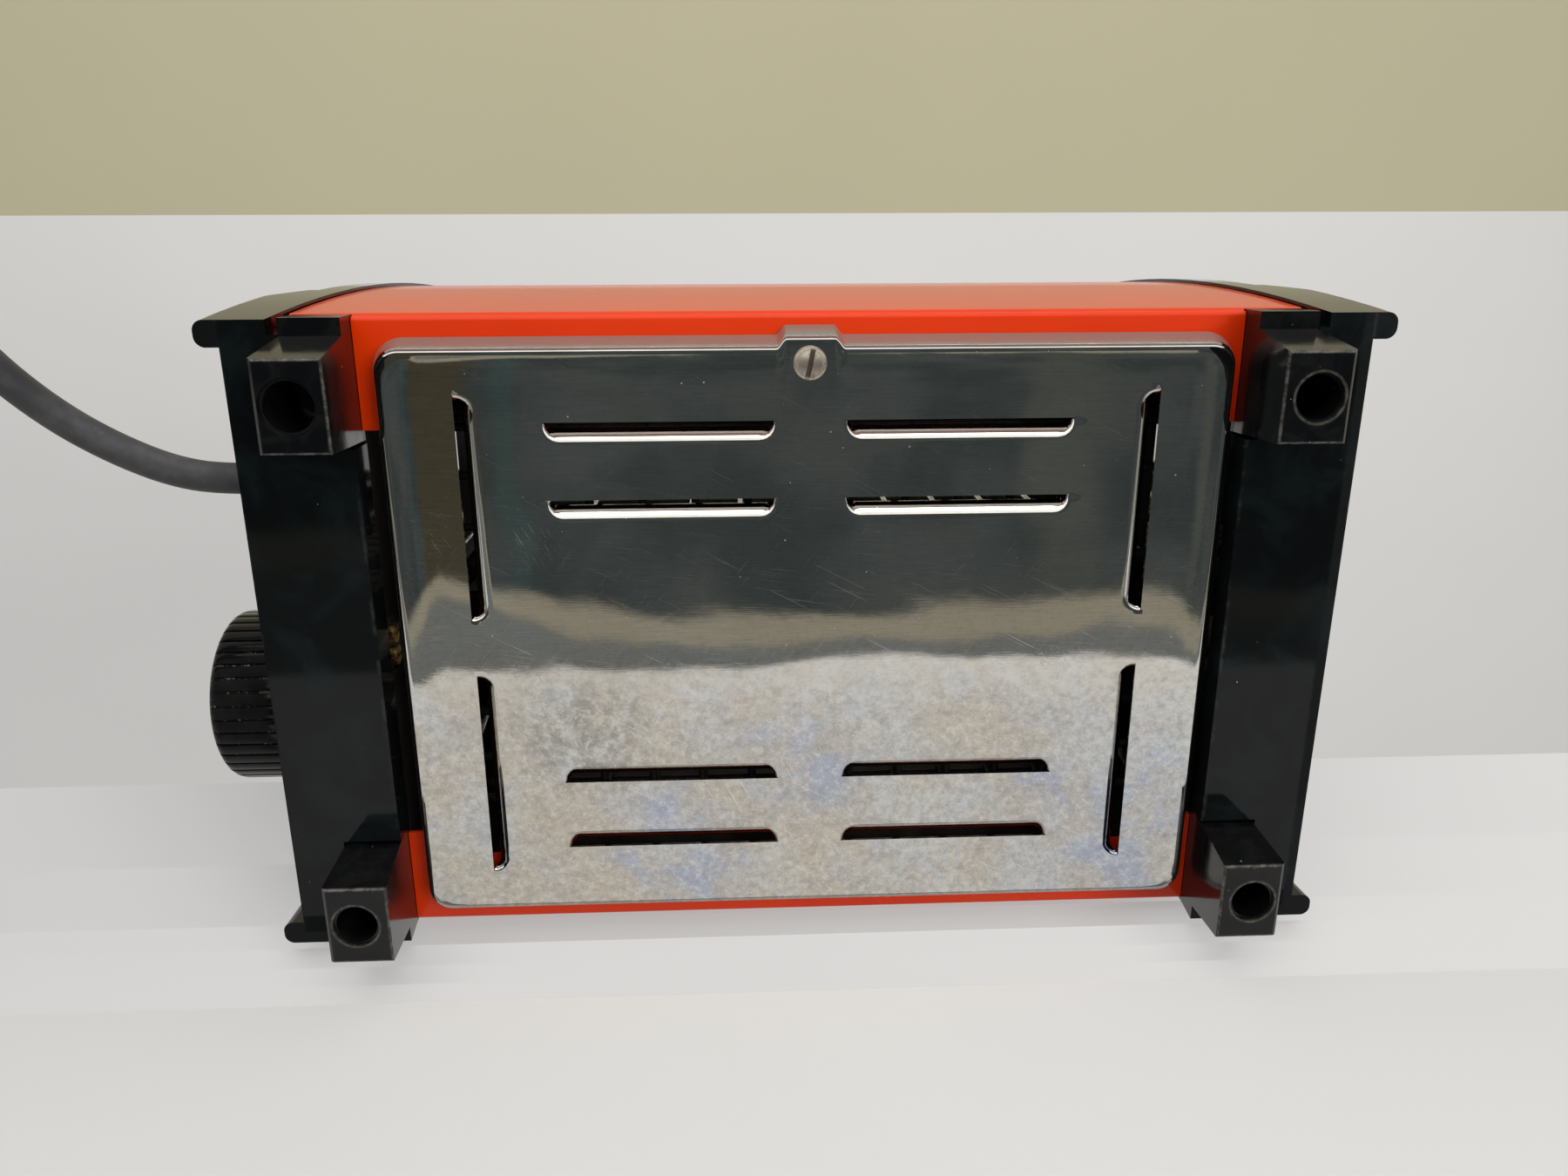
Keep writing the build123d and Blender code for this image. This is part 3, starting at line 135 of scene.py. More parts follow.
# ---------------------------------------------------------------- sizes and colours that a user may change
class ToasterSizes(bpy.types.PropertyGroup):
    """Sizes of the pieces that are built here."""

    cord_diameter: FloatProperty(
        name="Cord diameter", description="Thickness of the mains lead", default=0.007, min=0.004, unit="LENGTH"
    )
    cord_length: FloatProperty(
        name="Cord length", description="Whole length of the mains lead", default=1.5, min=0.5, unit="LENGTH"
    )
    sheet: FloatProperty(
        name="Plate thickness", description="Thickness of the base plate's steel", default=0.0008, unit="LENGTH"
    )
    louvre_depth: FloatProperty(
        name="Louvre depth", description="How far a louvre's lip is pushed in", default=0.0022, unit="LENGTH"
    )
    crown: FloatProperty(
        name="Edge crown",
        description="How far the flat of the plate bends up before its edge, or down if negative",
        default=-0.00050,
        unit="LENGTH",
    )
    knob_ribs: IntProperty(name="Knob ribs", description="Number of ribs round the knob", default=40, min=8)
    knob_groove: FloatProperty(
        name="Knob groove", description="Width of the groove between two ribs", default=0.00055, unit="LENGTH"
    )
    sleeve_rings: IntProperty(name="Sleeve rings", description="Rings along the plug's sleeve", default=5, min=1)
    dial_marks: IntProperty(name="Dial marks", description="Marks round the timer knob", default=11, min=2)


class ToasterColours(bpy.types.PropertyGroup):
    """Main colours of the finishes."""

    enamel: FloatVectorProperty(
        name="Enamel", description="Colour of the doors and rails", subtype="COLOR", size=4,
        default=(0.66, 0.034, 0.0006, 1.0), min=0.0, max=1.0,
    )
    moulding: FloatVectorProperty(
        name="Moulding", description="Colour of the end caps and feet", subtype="COLOR", size=4,
        default=(0.0025, 0.0030, 0.0033, 1.0), min=0.0, max=1.0,
    )
    steel: FloatVectorProperty(
        name="Steel", description="Colour of the polished plate", subtype="COLOR", size=4,
        default=(0.73, 0.715, 0.68, 1.0), min=0.0, max=1.0,
    )
    cord: FloatVectorProperty(
        name="Cord", description="Colour of the mains lead", subtype="COLOR", size=4,
        default=(0.040, 0.042, 0.047, 1.0), min=0.0, max=1.0,
    )
    floor: FloatVectorProperty(
        name="Floor", description="Colour of the floor and backdrop", subtype="COLOR", size=4,
        default=(0.63, 0.63, 0.625, 1.0), min=0.0, max=1.0,
    )


class ToasterStage(bpy.types.PropertyGroup):
    """Camera and lights."""

    lens: FloatProperty(name="Lens", description="Focal length of the camera", default=26.0, unit="CAMERA")
    key_power: FloatProperty(
        name="Key light", description="Power of the light over the rear door", default=9.5, unit="POWER"
    )
    fill_power: FloatProperty(
        name="Fill light", description="Power of the light in front of the base", default=5.0, unit="POWER"
    )
    top_power: FloatProperty(
        name="Top light", description="Power of the light over the standing toaster", default=9.0, unit="POWER"
    )
    surroundings: FloatProperty(name="Surroundings", description="Brightness of the room", default=0.40, min=0.0)


# ---------------------------------------------------------------- shader maths
class Number:
    """A socket that carries a number. Python maths on it adds Math nodes."""

    def __init__(self, finish, socket):
        self.finish = finish
        self.socket = socket

    def math(self, operation, *values):
        """Adds a Math node on these values."""
        node = self.finish.add("ShaderNodeMath", {"operation": operation}, dict(enumerate(values)))
        return Number(self.finish, node.outputs[0])

    def __add__(self, other):
        return self.math("ADD", self, other)

    __radd__ = __add__

    def __sub__(self, other):
        return self.math("SUBTRACT", self, other)

    def __rsub__(self, other):
        return self.math("SUBTRACT", other, self)

    def __mul__(self, other):
        return self.math("MULTIPLY", self, other)

    __rmul__ = __mul__

    def __truediv__(self, other):
        return self.math("DIVIDE", self, other)

    def __rtruediv__(self, other):
        return self.math("DIVIDE", other, self)

    def __gt__(self, other):
        return self.math("GREATER_THAN", self, other)

    def __lt__(self, other):
        return self.math("LESS_THAN", self, other)

    def __abs__(self):
        return self.math("ABSOLUTE", self)

    def __pow__(self, other):
        return self.math("POWER", self, other)

    def __rpow__(self, other):
        return self.math("POWER", other, self)

    def least(self, other):
        """The smaller of two numbers."""
        return self.math("MINIMUM", self, other)

    def most(self, other):
        """The larger of two numbers."""
        return self.math("MAXIMUM", self, other)

    def ease(self, low, high):
        """Rises smoothly from 0 at low to 1 at high."""
        node = self.finish.add(
            "ShaderNodeMapRange",
            {"interpolation_type": "SMOOTHSTEP", "clamp": True},
            {"Value": self, "From Min": low, "From Max": high},
        )
        return Number(self.finish, node.outputs["Result"])


class Finish:
    """A material being written. Lengths in it are millimetres on the object."""

    def __init__(self, name):
        self.material = bpy.data.materials.new(name)
        self.material.use_nodes = True
        self.tree = self.material.node_tree
        self.tree.nodes.clear()
        place = self.add("ShaderNodeTexCoord").outputs["Object"]
        scaled = self.add("ShaderNodeVectorMath", {"operation": "SCALE"}, {"Vector": place, "Scale": 1 / MM})
        self.point = scaled.outputs["Vector"]
        parts = self.add("ShaderNodeSeparateXYZ", {}, {"Vector": self.point})
        self.x, self.y, self.z = (Number(self, parts.outputs[axis]) for axis in "XYZ")

    def add(self, kind, settings=None, values=None):
        """Adds one node: its settings first, then the values or links of its sockets."""
        node = self.tree.nodes.new(kind)
        for name, value in (settings or {}).items():
            setattr(node, name, value)
        for key, value in (values or {}).items():
            socket = node.inputs[key] if isinstance(key, int) else self.named(node, key)
            value = value.socket if isinstance(value, Number) else value
            if isinstance(value, bpy.types.NodeSocket):
                self.tree.links.new(value, socket)
            else:
                socket.default_value = value
        return node

    @staticmethod
    def named(node, key):
        """A node's input by its identifier, or else by its name."""
        exact = [s for s in node.inputs if s.identifier == key]
        return exact[0] if exact else node.inputs[key]

    def stretched(self, along, turn=0.0):
        """The point, with features drawn out by these factors after a turn about Z."""
        node = self.add(
            "ShaderNodeMapping",
            {"vector_type": "TEXTURE"},
            {"Vector": self.point, "Rotation": (0.0, 0.0, math.radians(turn)), "Scale": along},
        )
        return node.outputs["Vector"]

    def noise(self, size, detail=3.0, rough=0.5, at=None, distort=0.0):
        """Soft noise about 0 to 1, whose features are this many millimetres wide."""
        values = {"Vector": at or self.point, "Scale": 1 / size, "Detail": detail, "Roughness": rough}
        node = self.add("ShaderNodeTexNoise", {}, {**values, "Distortion": distort})
        return Number(self, node.outputs["Fac"])

    def specks(self, pitch, radius, share):
        """Small round specks: one possible place in each cell of this pitch, and this share of them filled."""
        node = self.add("ShaderNodeTexVoronoi", {}, {"Vector": self.point, "Scale": 1 / pitch})
        pick = self.add("ShaderNodeSeparateColor", {}, {"Color": node.outputs["Color"]})
        size = Number(self, pick.outputs["Green"]) * radius / pitch
        filled = Number(self, pick.outputs["Red"]) < share
        return (Number(self, node.outputs["Distance"]) < size) * filled

    def scratches(self, width, length, turn, amount):
        """Fine scratches in one direction; amount is from 0 to 1."""
        lines = self.noise(width, 1.0, 0.5, self.stretched((length / width, 1.0, 1.0), turn))
        start = 0.80 - 0.14 * amount
        return lines.ease(start, start + 0.04)

    def near(self, x, y, radius):
        """1 round a place on the base, falling to 0 at this radius."""
        return 1 - distance(self.x - x, self.y - y).ease(0.35 * radius, radius)

    def places(self, spots):
        """1 round several places on the base, each given by its x, y and radius."""
        first, *others = (self.near(*spot) for spot in spots)
        return sum(others, first).least(1.0)

    def coats(self, colour, *coats):
        """A colour under coats of another colour and how much of it shows, the first one undermost."""
        for coat, share in coats:
            values = {"Factor_Float": share, "A_Color": opaque(colour), "B_Color": opaque(coat)}
            node = self.add("ShaderNodeMix", {"data_type": "RGBA"}, values)
            colour = next(s for s in node.outputs if s.identifier == "Result_Color")
        return colour

    def relief(self, *layers):
        """A normal from heights of 0 to 1, each with the rise in millimetres that it stands for."""
        normal = None
        for height, rise in layers:
            values = {"Height": height, "Distance": rise * MM, "Strength": 1.0}
            if normal:
                values["Normal"] = normal
            normal = self.add("ShaderNodeBump", {}, values).outputs["Normal"]
        return normal

    def surface(self, colour, roughness, normal, others=None):
        """Ends the material in a principled surface."""
        values = {"Base Color": colour, "Roughness": roughness, "Normal": normal, **(others or {})}
        shader = self.add("ShaderNodeBsdfPrincipled", {}, values)
        self.add("ShaderNodeOutputMaterial", {}, {"Surface": shader.outputs["BSDF"]})
        return self.material


def distance(first, second):
    """The length of a step given by its two parts."""
    return (first**2 + second**2) ** 0.5


def opaque(colour):
    """A colour of three numbers with its alpha; a link or a whole colour stays as it is."""
    return (*colour, 1.0) if isinstance(colour, tuple) and len(colour) == 3 else colour


def grey(value):
    """A neutral colour."""
    return (value, value, value)


def shaded(colour, red, green, blue):
    """A colour with its three channels multiplied."""
    return (colour[0] * red, colour[1] * green, colour[2] * blue)


# ---------------------------------------------------------------- finishes
def stained_steel(colour):
    """Brushed and polished steel with heat tint, stains, scuffs and fine scratches."""
    f = Finish("stained_steel")
    brush = f.noise(0.16, 2.0, 0.6, f.stretched((60.0, 1.0, 1.0)))
    swell = f.noise(34.0, 1.0, 0.4, distort=0.6)
    ripple = f.noise(9.0, 2.0, 0.45, distort=0.5)
    blotch = f.noise(13.0, 5.0, 0.62, distort=1.2)
    stain = f.noise(4.0, 5.0, 0.7)
    pits = f.noise(0.55, 3.0, 0.6)
    mottle = f.noise(1.5, 4.0, 0.72)
    low = 1 - f.y.ease(DULL_TO, POLISHED_FROM)
    cold = f.noise(16.0, 4.0, 0.62, f.stretched((1.1, 0.9, 1.0), 35.0), 0.4).ease(0.43, 0.67)
    cold = (cold * 0.34 + f.places(BLUED) * (0.26 + cold * 0.60)).least(1.0) * low
    warm = f.noise(24.0, 5.0, 0.66, f.stretched((0.9, 1.2, 1.0), -20.0), 0.5).ease(0.40, 0.56)
    dusky = f.near(*DUSKY) * stain.ease(0.35, 0.60)
    scuff = f.scratches(0.10, 6.0, 62.0, 0.95) * f.places(SCUFFED)
    fine = f.scratches(0.20, 20.0, 28.0, 0.44).most(f.scratches(0.06, 10.0, -52.0, 0.40))
    fine = fine.most(f.scratches(0.08, 18.0, 8.0, 0.45)).most(f.scratches(0.18, 10.0, 62.0, 0.55) * low)
    dust = f.specks(3.4, 0.20, 0.75)

    # Film on the flared wall all round, and near-black grime and painted shade on it in the gap beside the end caps
    off_x, off_y = abs(f.x - PLATE_SHIFT), abs(f.y)
    wall = off_x.ease(PLATE_X - 1.0, PLATE_X - 0.4).most(off_y.ease(PLATE_Y - 0.9, PLATE_Y - 0.3))
    film = f.z.ease(PLATE_Z + 0.45, PLATE_Z + 1.0) * wall
    grime_and_shade = f.z.ease(PLATE_Z + 0.5, PLATE_Z + 1.7) * off_x.ease(PLATE_X - 0.8, PLATE_X) * (1 - off_y.ease(44.0, 50.0))

    tint = f.coats(
        colour,
        ((0.62, 0.62, 0.60), low),
        ((0.46, 0.45, 0.41), brush.ease(0.42, 0.66) * (1 - low) * 0.35),  # brush marks
        ((0.58, 0.50, 0.38), warm * (0.14 + low * 0.46)),  # straw heat tint
        ((0.38, 0.47, 0.67), cold * 0.66),  # blue heat tint
        ((0.38, 0.37, 0.35), stain.ease(0.47, 0.68) * low * 0.42),  # dark stains where it is dull
        ((0.33, 0.32, 0.29), dusky * low * 0.8),
        ((0.76, 0.76, 0.72), mottle.ease(0.50, 0.66) * (0.12 + low * 0.45)),  # pale and dark mottling
        ((0.32, 0.32, 0.31), (1 - mottle.ease(0.36, 0.50)) * (0.10 + low * 0.28)),
        ((0.74, 0.74, 0.73), pits.ease(0.56, 0.72) * (0.10 + low * 0.28)),  # fine pitting
        ((0.86, 0.85, 0.82), (scuff * 0.5 + fine * (0.30 + low * 0.7)).least(1.0)),  # scratches
        ((0.82, 0.80, 0.74), dust * 0.8),
        ((0.25, 0.22, 0.19), film * 0.80),
        # near black in the gap beside the end caps: painted shade, with grime
        ((0.018, 0.015, 0.012), grime_and_shade * 0.94),
    )
    rough = 0.016 + brush * 0.022 + blotch.ease(0.46, 0.7) * 0.022 + stain.ease(0.5, 0.75) * low * 0.10
    rough = rough + pits.ease(0.55, 0.75) * low * 0.08 + scuff * 0.3 + fine * 0.2 + dust * 0.4
    rough = rough + film * 0.26 + grime_and_shade * 0.35
    fine_relief = brush + pits * 0.6 - fine * 0.5 - scuff * 0.5
    normal = f.relief((swell, 0.20), (ripple, 0.010), (fine_relief, 0.0009))
    return f.surface(tint, rough, normal, {"Metallic": 1 - (film * 0.35).most(grime_and_shade * 0.85)})


def orange_enamel(colour):
    """Gloss enamel on sheet: a deep colour under a clear skin, faintly uneven, with dust."""
    f = Finish("orange_enamel")
    flow = f.noise(3.2, 2.0, 0.4)
    sag = f.noise(26.0, 1.0, 0.4)
    tone = f.noise(40.0, 3.0, 0.5)
    dust = f.specks(3.6, 0.13, 0.28)
    rub = f.scratches(0.08, 12.0, 12.0, 0.34).most(f.scratches(0.07, 9.0, -64.0, 0.30))
    tint = f.coats(
        shaded(colour, 0.94, 0.88, 1.0),
        (colour, tone.ease(0.32, 0.6)),
        ((0.80, 0.12, 0.02), rub * 0.15),
        ((0.78, 0.55, 0.42), dust * 0.85),
    )
    rough = 0.26 + rub * 0.15 + dust * 0.35 + tone * 0.04
    clear_skin = {"Coat Weight": 0.42, "Coat Roughness": 0.05, "IOR": 1.33}
    return f.surface(tint, rough, f.relief((sag, 0.05), (flow - dust * 0.4, 0.006)), clear_skin)


def black_moulding(colour):
    """Glossy black plastic: faint sink marks, fine dust, hairline rubbing, paler worn edges."""
    f = Finish("black_moulding")
    sink = f.noise(38.0, 1.0, 0.4, distort=0.4)
    grain = f.noise(0.8, 2.0, 0.5)
    cloud = f.noise(16.0, 4.0, 0.6, distort=0.8)
    dust = f.specks(2.6, 0.11, 0.35).most(f.specks(7.0, 0.28, 0.22))
    rub = f.scratches(0.07, 9.0, 75.0, 0.42).most(f.scratches(0.06, 7.0, 20.0, 0.36))
    worn = wear_along_ends(f)
    tint = f.coats(
        colour,
        ((0.0045, 0.0075, 0.0080), cloud.ease(0.45, 0.7)),
        (grey(0.03), rub * 0.10),
        (grey(0.09), worn * 0.22),
        ((0.42, 0.40, 0.36), dust * 0.75),
    )
    rough = 0.06 + cloud.ease(0.4, 0.75) * 0.04 + rub * 0.08 + worn * 0.15 + dust * 0.4
    return f.surface(tint, rough, f.relief((sink, 0.10), (grain, 0.0012)), {"IOR": 1.33})


def wear_along_ends(f):
    """Pale rubbing along an end cap's long corners and its ears' tips."""
    off_x = abs(f.x)
    inner = 1 - abs(off_x - CAP_INNER_X).ease(0.15, 0.7)
    bottom = 1 - abs(f.z - CAP_UNDERSIDE_Z).ease(0.1, 0.8)
    outer = off_x.ease(CAP_OUTER_X - 0.5, CAP_OUTER_X - 0.05) * (1 - off_x.ease(CAP_OUTER_X, CAP_OUTER_X + 0.7))
    ragged = f.noise(9.0, 5.0, 0.7).ease(0.46, 0.70)
    return (inner * bottom + outer * bottom).least(1.0) * ragged


def foot_black():
    """Black plastic feet: scuffed faces, pale rubbed edges, a dusty rim round each bore."""
    f = Finish("foot_black")
    off_x, off_y = abs(f.x), abs(f.y)
    grain = f.noise(0.5, 3.0, 0.6)
    cloud = f.noise(7.0, 4.0, 0.65, distort=0.8)
    dust = f.specks(1.7, 0.12, 0.45).most(f.specks(4.2, 0.24, 0.28))
    rub = f.scratches(0.08, 5.0, 40.0, 0.55).most(f.scratches(0.07, 6.0, -30.0, 0.5))
    face = 1 - f.z.ease(0.2, 0.9)
    ragged = f.noise(1.6, 4.0, 0.7).ease(0.40, 0.66)
    edges = beside(off_x, *FOOT_X).most(beside(off_y, *FOOT_Y)) * (1 - f.z.ease(0.3, 0.9)) * (0.25 + ragged * 0.75)
    rim = (1 - abs(distance(off_x - BORE_AT[0], off_y - BORE_AT[1]) - BORE_RIM_R).ease(0.10, 0.45)) * face
    tint = f.coats(
        (0.0025, 0.0027, 0.0032),
        ((0.0055, 0.0058, 0.0060), cloud.ease(0.42, 0.68)),
        (grey(0.030), rub * 0.16),
        ((0.15, 0.145, 0.13), edges * 0.55),
        ((0.11, 0.105, 0.085), rim * (0.3 + ragged * 0.7) * 0.6),
        ((0.44, 0.41, 0.35), dust * 0.7),
    )
    rough = 0.10 + cloud.ease(0.4, 0.7) * 0.07 + face * 0.04 + rub * 0.10 + edges * 0.25 + dust * 0.35
    normal = f.relief((f.noise(18.0, 1.0, 0.4), 0.06), (grain - rub * 0.4, 0.003))
    return f.surface(tint, rough, normal, {"IOR": 1.36})


def beside(place, low, high):
    """1 at the two ends of a span, falling to 0 a little way in from them."""
    return 1 - (place - low).least(high - place).ease(0.05, 0.42)


def knob_black():
    """Black knob: satin ribs, yellowish debris down in the grooves."""
    f = Finish("knob_black")
    radius = distance(f.y - KNOB_AXIS[0], f.z - KNOB_AXIS[1])
    groove = 1 - radius.ease(KNOB_R - 0.65, KNOB_R - 0.25)
    side = radius.ease(KNOB_R - 1.4, KNOB_R - 1.0)
    grain = f.noise(0.45, 3.0, 0.6)
    cloud = f.noise(5.0, 3.0, 0.6)
    crumbs = f.noise(0.8, 3.0, 0.7).ease(0.56, 0.66) * groove * side
    dust = f.specks(1.6, 0.1, 0.4)
    tint = f.coats(
        (0.0022, 0.0024, 0.0028),
        ((0.0050, 0.0054, 0.0058), cloud.ease(0.4, 0.7)),
        ((0.46, 0.36, 0.20), crumbs * 0.55),
        ((0.34, 0.33, 0.30), dust * 0.7),
    )
    rough = 0.10 + cloud * 0.06 + crumbs * 0.4 + dust * 0.3
    return f.surface(tint, rough, f.relief((grain, 0.003)), {"IOR": 1.36})


def cord_rubber(colour):
    """Matt flexible sheath: a faint grain, dust and a few scuffs."""
    f = Finish("cord_rubber")
    grain = f.noise(0.5, 3.0, 0.6)
    cloud = f.noise(6.0, 4.0, 0.65)
    scuff = f.noise(4.0, 4.0, 0.7, distort=1.0).ease(0.64, 0.74)
    dust = f.specks(1.8, 0.1, 0.4)
    tint = f.coats(
        colour,
        ((0.062, 0.062, 0.064), cloud.ease(0.42, 0.7)),
        (grey(0.13), scuff * 0.35),
        ((0.33, 0.31, 0.28), dust * 0.55),
    )
    return f.surface(tint, 0.40 + cloud * 0.10 + scuff * 0.15, f.relief((grain, 0.010)), {"IOR": 1.47})


def sheet_metal(colour):
    """Plain rolled steel inside the toaster, browned here and there by heat, with crumbs, and near black low down and
    over its ends: painted shade, partly baked grime.
    """
    f = Finish("sheet_metal")
    roll = f.noise(0.35, 2.0, 0.6, f.stretched((25.0, 1.0, 1.0)))
    cloud = f.noise(20.0, 4.0, 0.6, distort=0.8)
    crumbs = f.specks(3.2, 0.22, 0.30)
    # Painted shade: near black low down, and over the ends up most of their height, partly for baked grime
    grime_and_shade = 1 - (f.z + cloud * 14.0 - abs(f.x).ease(60.0, 86.0) * 115.0).ease(40.0, 62.0)
    tint = f.coats(
        colour,
        (shaded(colour, 0.62, 0.50, 0.36), cloud.ease(0.45, 0.72) * 0.3),
        ((0.16, 0.09, 0.04), crumbs * 0.8),
        ((0.012, 0.010, 0.008), grime_and_shade * 0.96),
    )
    rough = 0.34 + roll * 0.10 + cloud * 0.12 + crumbs * 0.3 + grime_and_shade * 0.45
    return f.surface(tint, rough, f.relief((roll, 0.006), (cloud, 0.04)), {"Metallic": 1 - grime_and_shade * 0.9, "IOR": 1.2})


def turned_metal(colour, rough, darkening, shade_below):
    """Small bright metal parts: fine tool marks, darker dirt in patches, and painted shade, near black, below a
    height.
    """
    f = Finish("turned_metal")
    marks = f.noise(0.14, 2.0, 0.6)
    cloud = f.noise(1.9, 4.0, 0.65)
    # Painted shade: near black below the given height, low inside the toaster
    grime_and_shade = 1 - (f.z + cloud * 6.0).ease(shade_below, shade_below + 8.0)
    tint = f.coats(colour, (darkening, cloud.ease(0.48, 0.70) * 0.7), ((0.016, 0.013, 0.010), grime_and_shade * 0.93))
    rough = rough + marks * 0.12 + cloud.ease(0.45, 0.7) * 0.18 + grime_and_shade * 0.2
    return f.surface(tint, rough, f.relief((marks, 0.004)), {"Metallic": 1 - grime_and_shade * 0.7})


def slotted_nickel():
    """The plate's screw: satin nickel with turning marks, brown in patches, and painted shade, near black, down in the
    slot and round the head's shoulder.
    """
    f = Finish("slotted_nickel")
    marks = f.noise(0.14, 2.0, 0.6)
    cloud = f.noise(1.9, 4.0, 0.65)
    radius = distance(f.x - SCREW_AT[0], f.y - SCREW_AT[1])
    # Painted shade: near black in the slot and round the shoulder, wherever the head rises from its face
    darkening = f.z.ease(SCREW_LOW + 0.35, SCREW_LOW + 0.65) * (1 - radius.ease(SCREW_R - 0.75, SCREW_R - 0.35))
    tint = f.coats(
        (0.56, 0.50, 0.41), ((0.26, 0.21, 0.15), cloud.ease(0.46, 0.68) * 0.7), ((0.020, 0.016, 0.012), darkening * 0.92)
    )
    rough = 0.30 + marks * 0.12 + cloud.ease(0.45, 0.7) * 0.18 + darkening * 0.25
    return f.surface(tint, rough, f.relief((marks, 0.004)), {"Metallic": 1 - darkening * 0.8})


def flaked_mica():
    """Pressed mica board: silvery flakes over brown, scorched in patches."""
    f = Finish("mica")
    flakes = f.add("ShaderNodeTexVoronoi", {}, {"Vector": f.stretched((1.6, 1.0, 1.0), 20.0), "Scale": 1 / 3.0})
    tone = f.add("ShaderNodeSeparateColor", {}, {"Color": flakes.outputs["Color"]})
    glint = Number(f, tone.outputs["Red"])
    scorch = f.noise(11.0, 4.0, 0.6).ease(0.42, 0.72)
    tint = f.coats((0.30, 0.24, 0.17), ((0.52, 0.46, 0.36), glint), ((0.12, 0.075, 0.04), scorch * 0.7))
    return f.surface(tint, 0.30 + glint * 0.25, f.relief((glint, 0.02)))


def heater_ribbon():
    """Flat resistance ribbon: dull grey with darker heated bands."""
    f = Finish("heater_ribbon")
    bands = f.noise(5.0, 3.0, 0.6, f.stretched((3.0, 1.0, 1.0)))
    tint = f.coats((0.33, 0.31, 0.30), ((0.10, 0.085, 0.08), bands.ease(0.4, 0.65)))
    return f.surface(tint, 0.42 + bands * 0.2, f.relief((f.noise(0.3, 2.0), 0.005)), {"Metallic": 1.0})


def inner_plastic(light, dark):
    """Small moulded parts and sleeves inside: matt, slightly dusty."""
    f = Finish("inner_plastic")
    cloud = f.noise(3.0, 4.0, 0.6)
    dust = f.specks(1.3, 0.1, 0.4)
    tint = f.coats(light, (dark, cloud.ease(0.4, 0.65)), ((0.45, 0.42, 0.36), dust * 0.5))
    return f.surface(tint, 0.42 + cloud * 0.15, f.relief((f.noise(0.4, 2.0), 0.008)))


def woven_tie():
    """Black hook tape that holds the coil, with painted shade down between its loops."""
    f = Finish("woven_tie")
    loops = f.add("ShaderNodeTexVoronoi", {}, {"Vector": f.point, "Scale": 1 / 0.55})
    depth = Number(f, loops.outputs["Distance"])
    # darker down between the loops: painted shade in the hollows
    tint = f.coats((0.035, 0.035, 0.038), ((0.008, 0.008, 0.009), depth.ease(0.2, 0.7)))
    return f.surface(tint, 0.72 + depth * 0.1, f.relief((1 - depth, 0.12)))


def mark_white():
    """Printed marks, a little worn."""
    f = Finish("mark_white")
    worn = f.noise(0.7, 3.0, 0.6).ease(0.55, 0.75)
    tint = f.coats((0.72, 0.72, 0.69), ((0.30, 0.30, 0.29), worn * 0.7))
    return f.surface(tint, 0.45 + worn * 0.15, f.relief((f.noise(0.3, 2.0), 0.002)))


def finish_for(slot):
    """The finished material of one of the record's slots, made once."""
    colours = bpy.context.scene.toaster_colours
    made = {
        "stainless": lambda: stained_steel(tuple(colours.steel)),
        "orange_enamel": lambda: orange_enamel(tuple(colours.enamel)),
        "black_moulding": lambda: black_moulding(tuple(colours.moulding)),
        "foot_black": foot_black,
        "knob_black": knob_black,
        "inner_steel": lambda: sheet_metal((0.30, 0.28, 0.24)),
        # A turned metal's last number is the height in millimetres below which shade is painted near black
        "bright_wire": lambda: turned_metal((0.66, 0.65, 0.62), 0.16, (0.30, 0.24, 0.18), 52.0),
        "screw_nickel": slotted_nickel,
        "mica": flaked_mica,
        "ribbon": heater_ribbon,
        "terminal_brass": lambda: turned_metal((0.86, 0.60, 0.22), 0.20, (0.35, 0.20, 0.07), -20.0),
        "inner_plastic": lambda: inner_plastic((0.050, 0.042, 0.034), (0.020, 0.017, 0.014)),
        "cord_rubber": lambda: cord_rubber(tuple(colours.cord)),
        "lead_sleeve": lambda: inner_plastic((0.46, 0.44, 0.40), (0.25, 0.23, 0.20)),
        "tie": woven_tie,
        "marks": mark_white,
    }
    name = f"finish_{slot}"
    if name not in bpy.data.materials:
        made[slot]().name = name
    return bpy.data.materials[name]


# ---------------------------------------------------------------- mesh helpers
def new_piece(name, vertices, faces, slot, smooth=True):
    """Adds a mesh object at the origin from points in millimetres."""
    mesh = bpy.data.meshes.new(name)
    mesh.from_pydata([tuple(float(c) * MM for c in v) for v in vertices], [], faces)
    mesh.update()
    piece = bpy.data.objects.new(name, mesh)
    bpy.context.scene.collection.objects.link(piece)
    mesh.materials.append(finish_for(slot))
    if smooth:
        mesh.shade_smooth()
    return piece


def outward(piece, merge=0.0):
    """Merges doubles, and turns every face outwards."""
    work = bmesh.new()
    work.from_mesh(piece.data)
    if merge:
        bmesh.ops.remove_doubles(work, verts=work.verts, dist=merge * MM)
    bmesh.ops.recalc_face_normals(work, faces=work.faces)
    work.to_mesh(piece.data)
    work.free()
    piece.data.update()


def settle(piece):
    """Replaces a piece's mesh by the result of its modifiers, and removes them."""
    graph = bpy.context.evaluated_depsgraph_get()
    result = bpy.data.meshes.new_from_object(piece.evaluated_get(graph), depsgraph=graph)
    piece.modifiers.clear()
    old, piece.data = piece.data, result
    bpy.data.meshes.remove(old)
    result.name = piece.name


def crisp(piece, degrees):
    """Smooth faces, with edges sharper than this left crisp."""
    piece.data.shade_smooth()
    piece.data.set_sharp_from_angle(angle=math.radians(degrees))


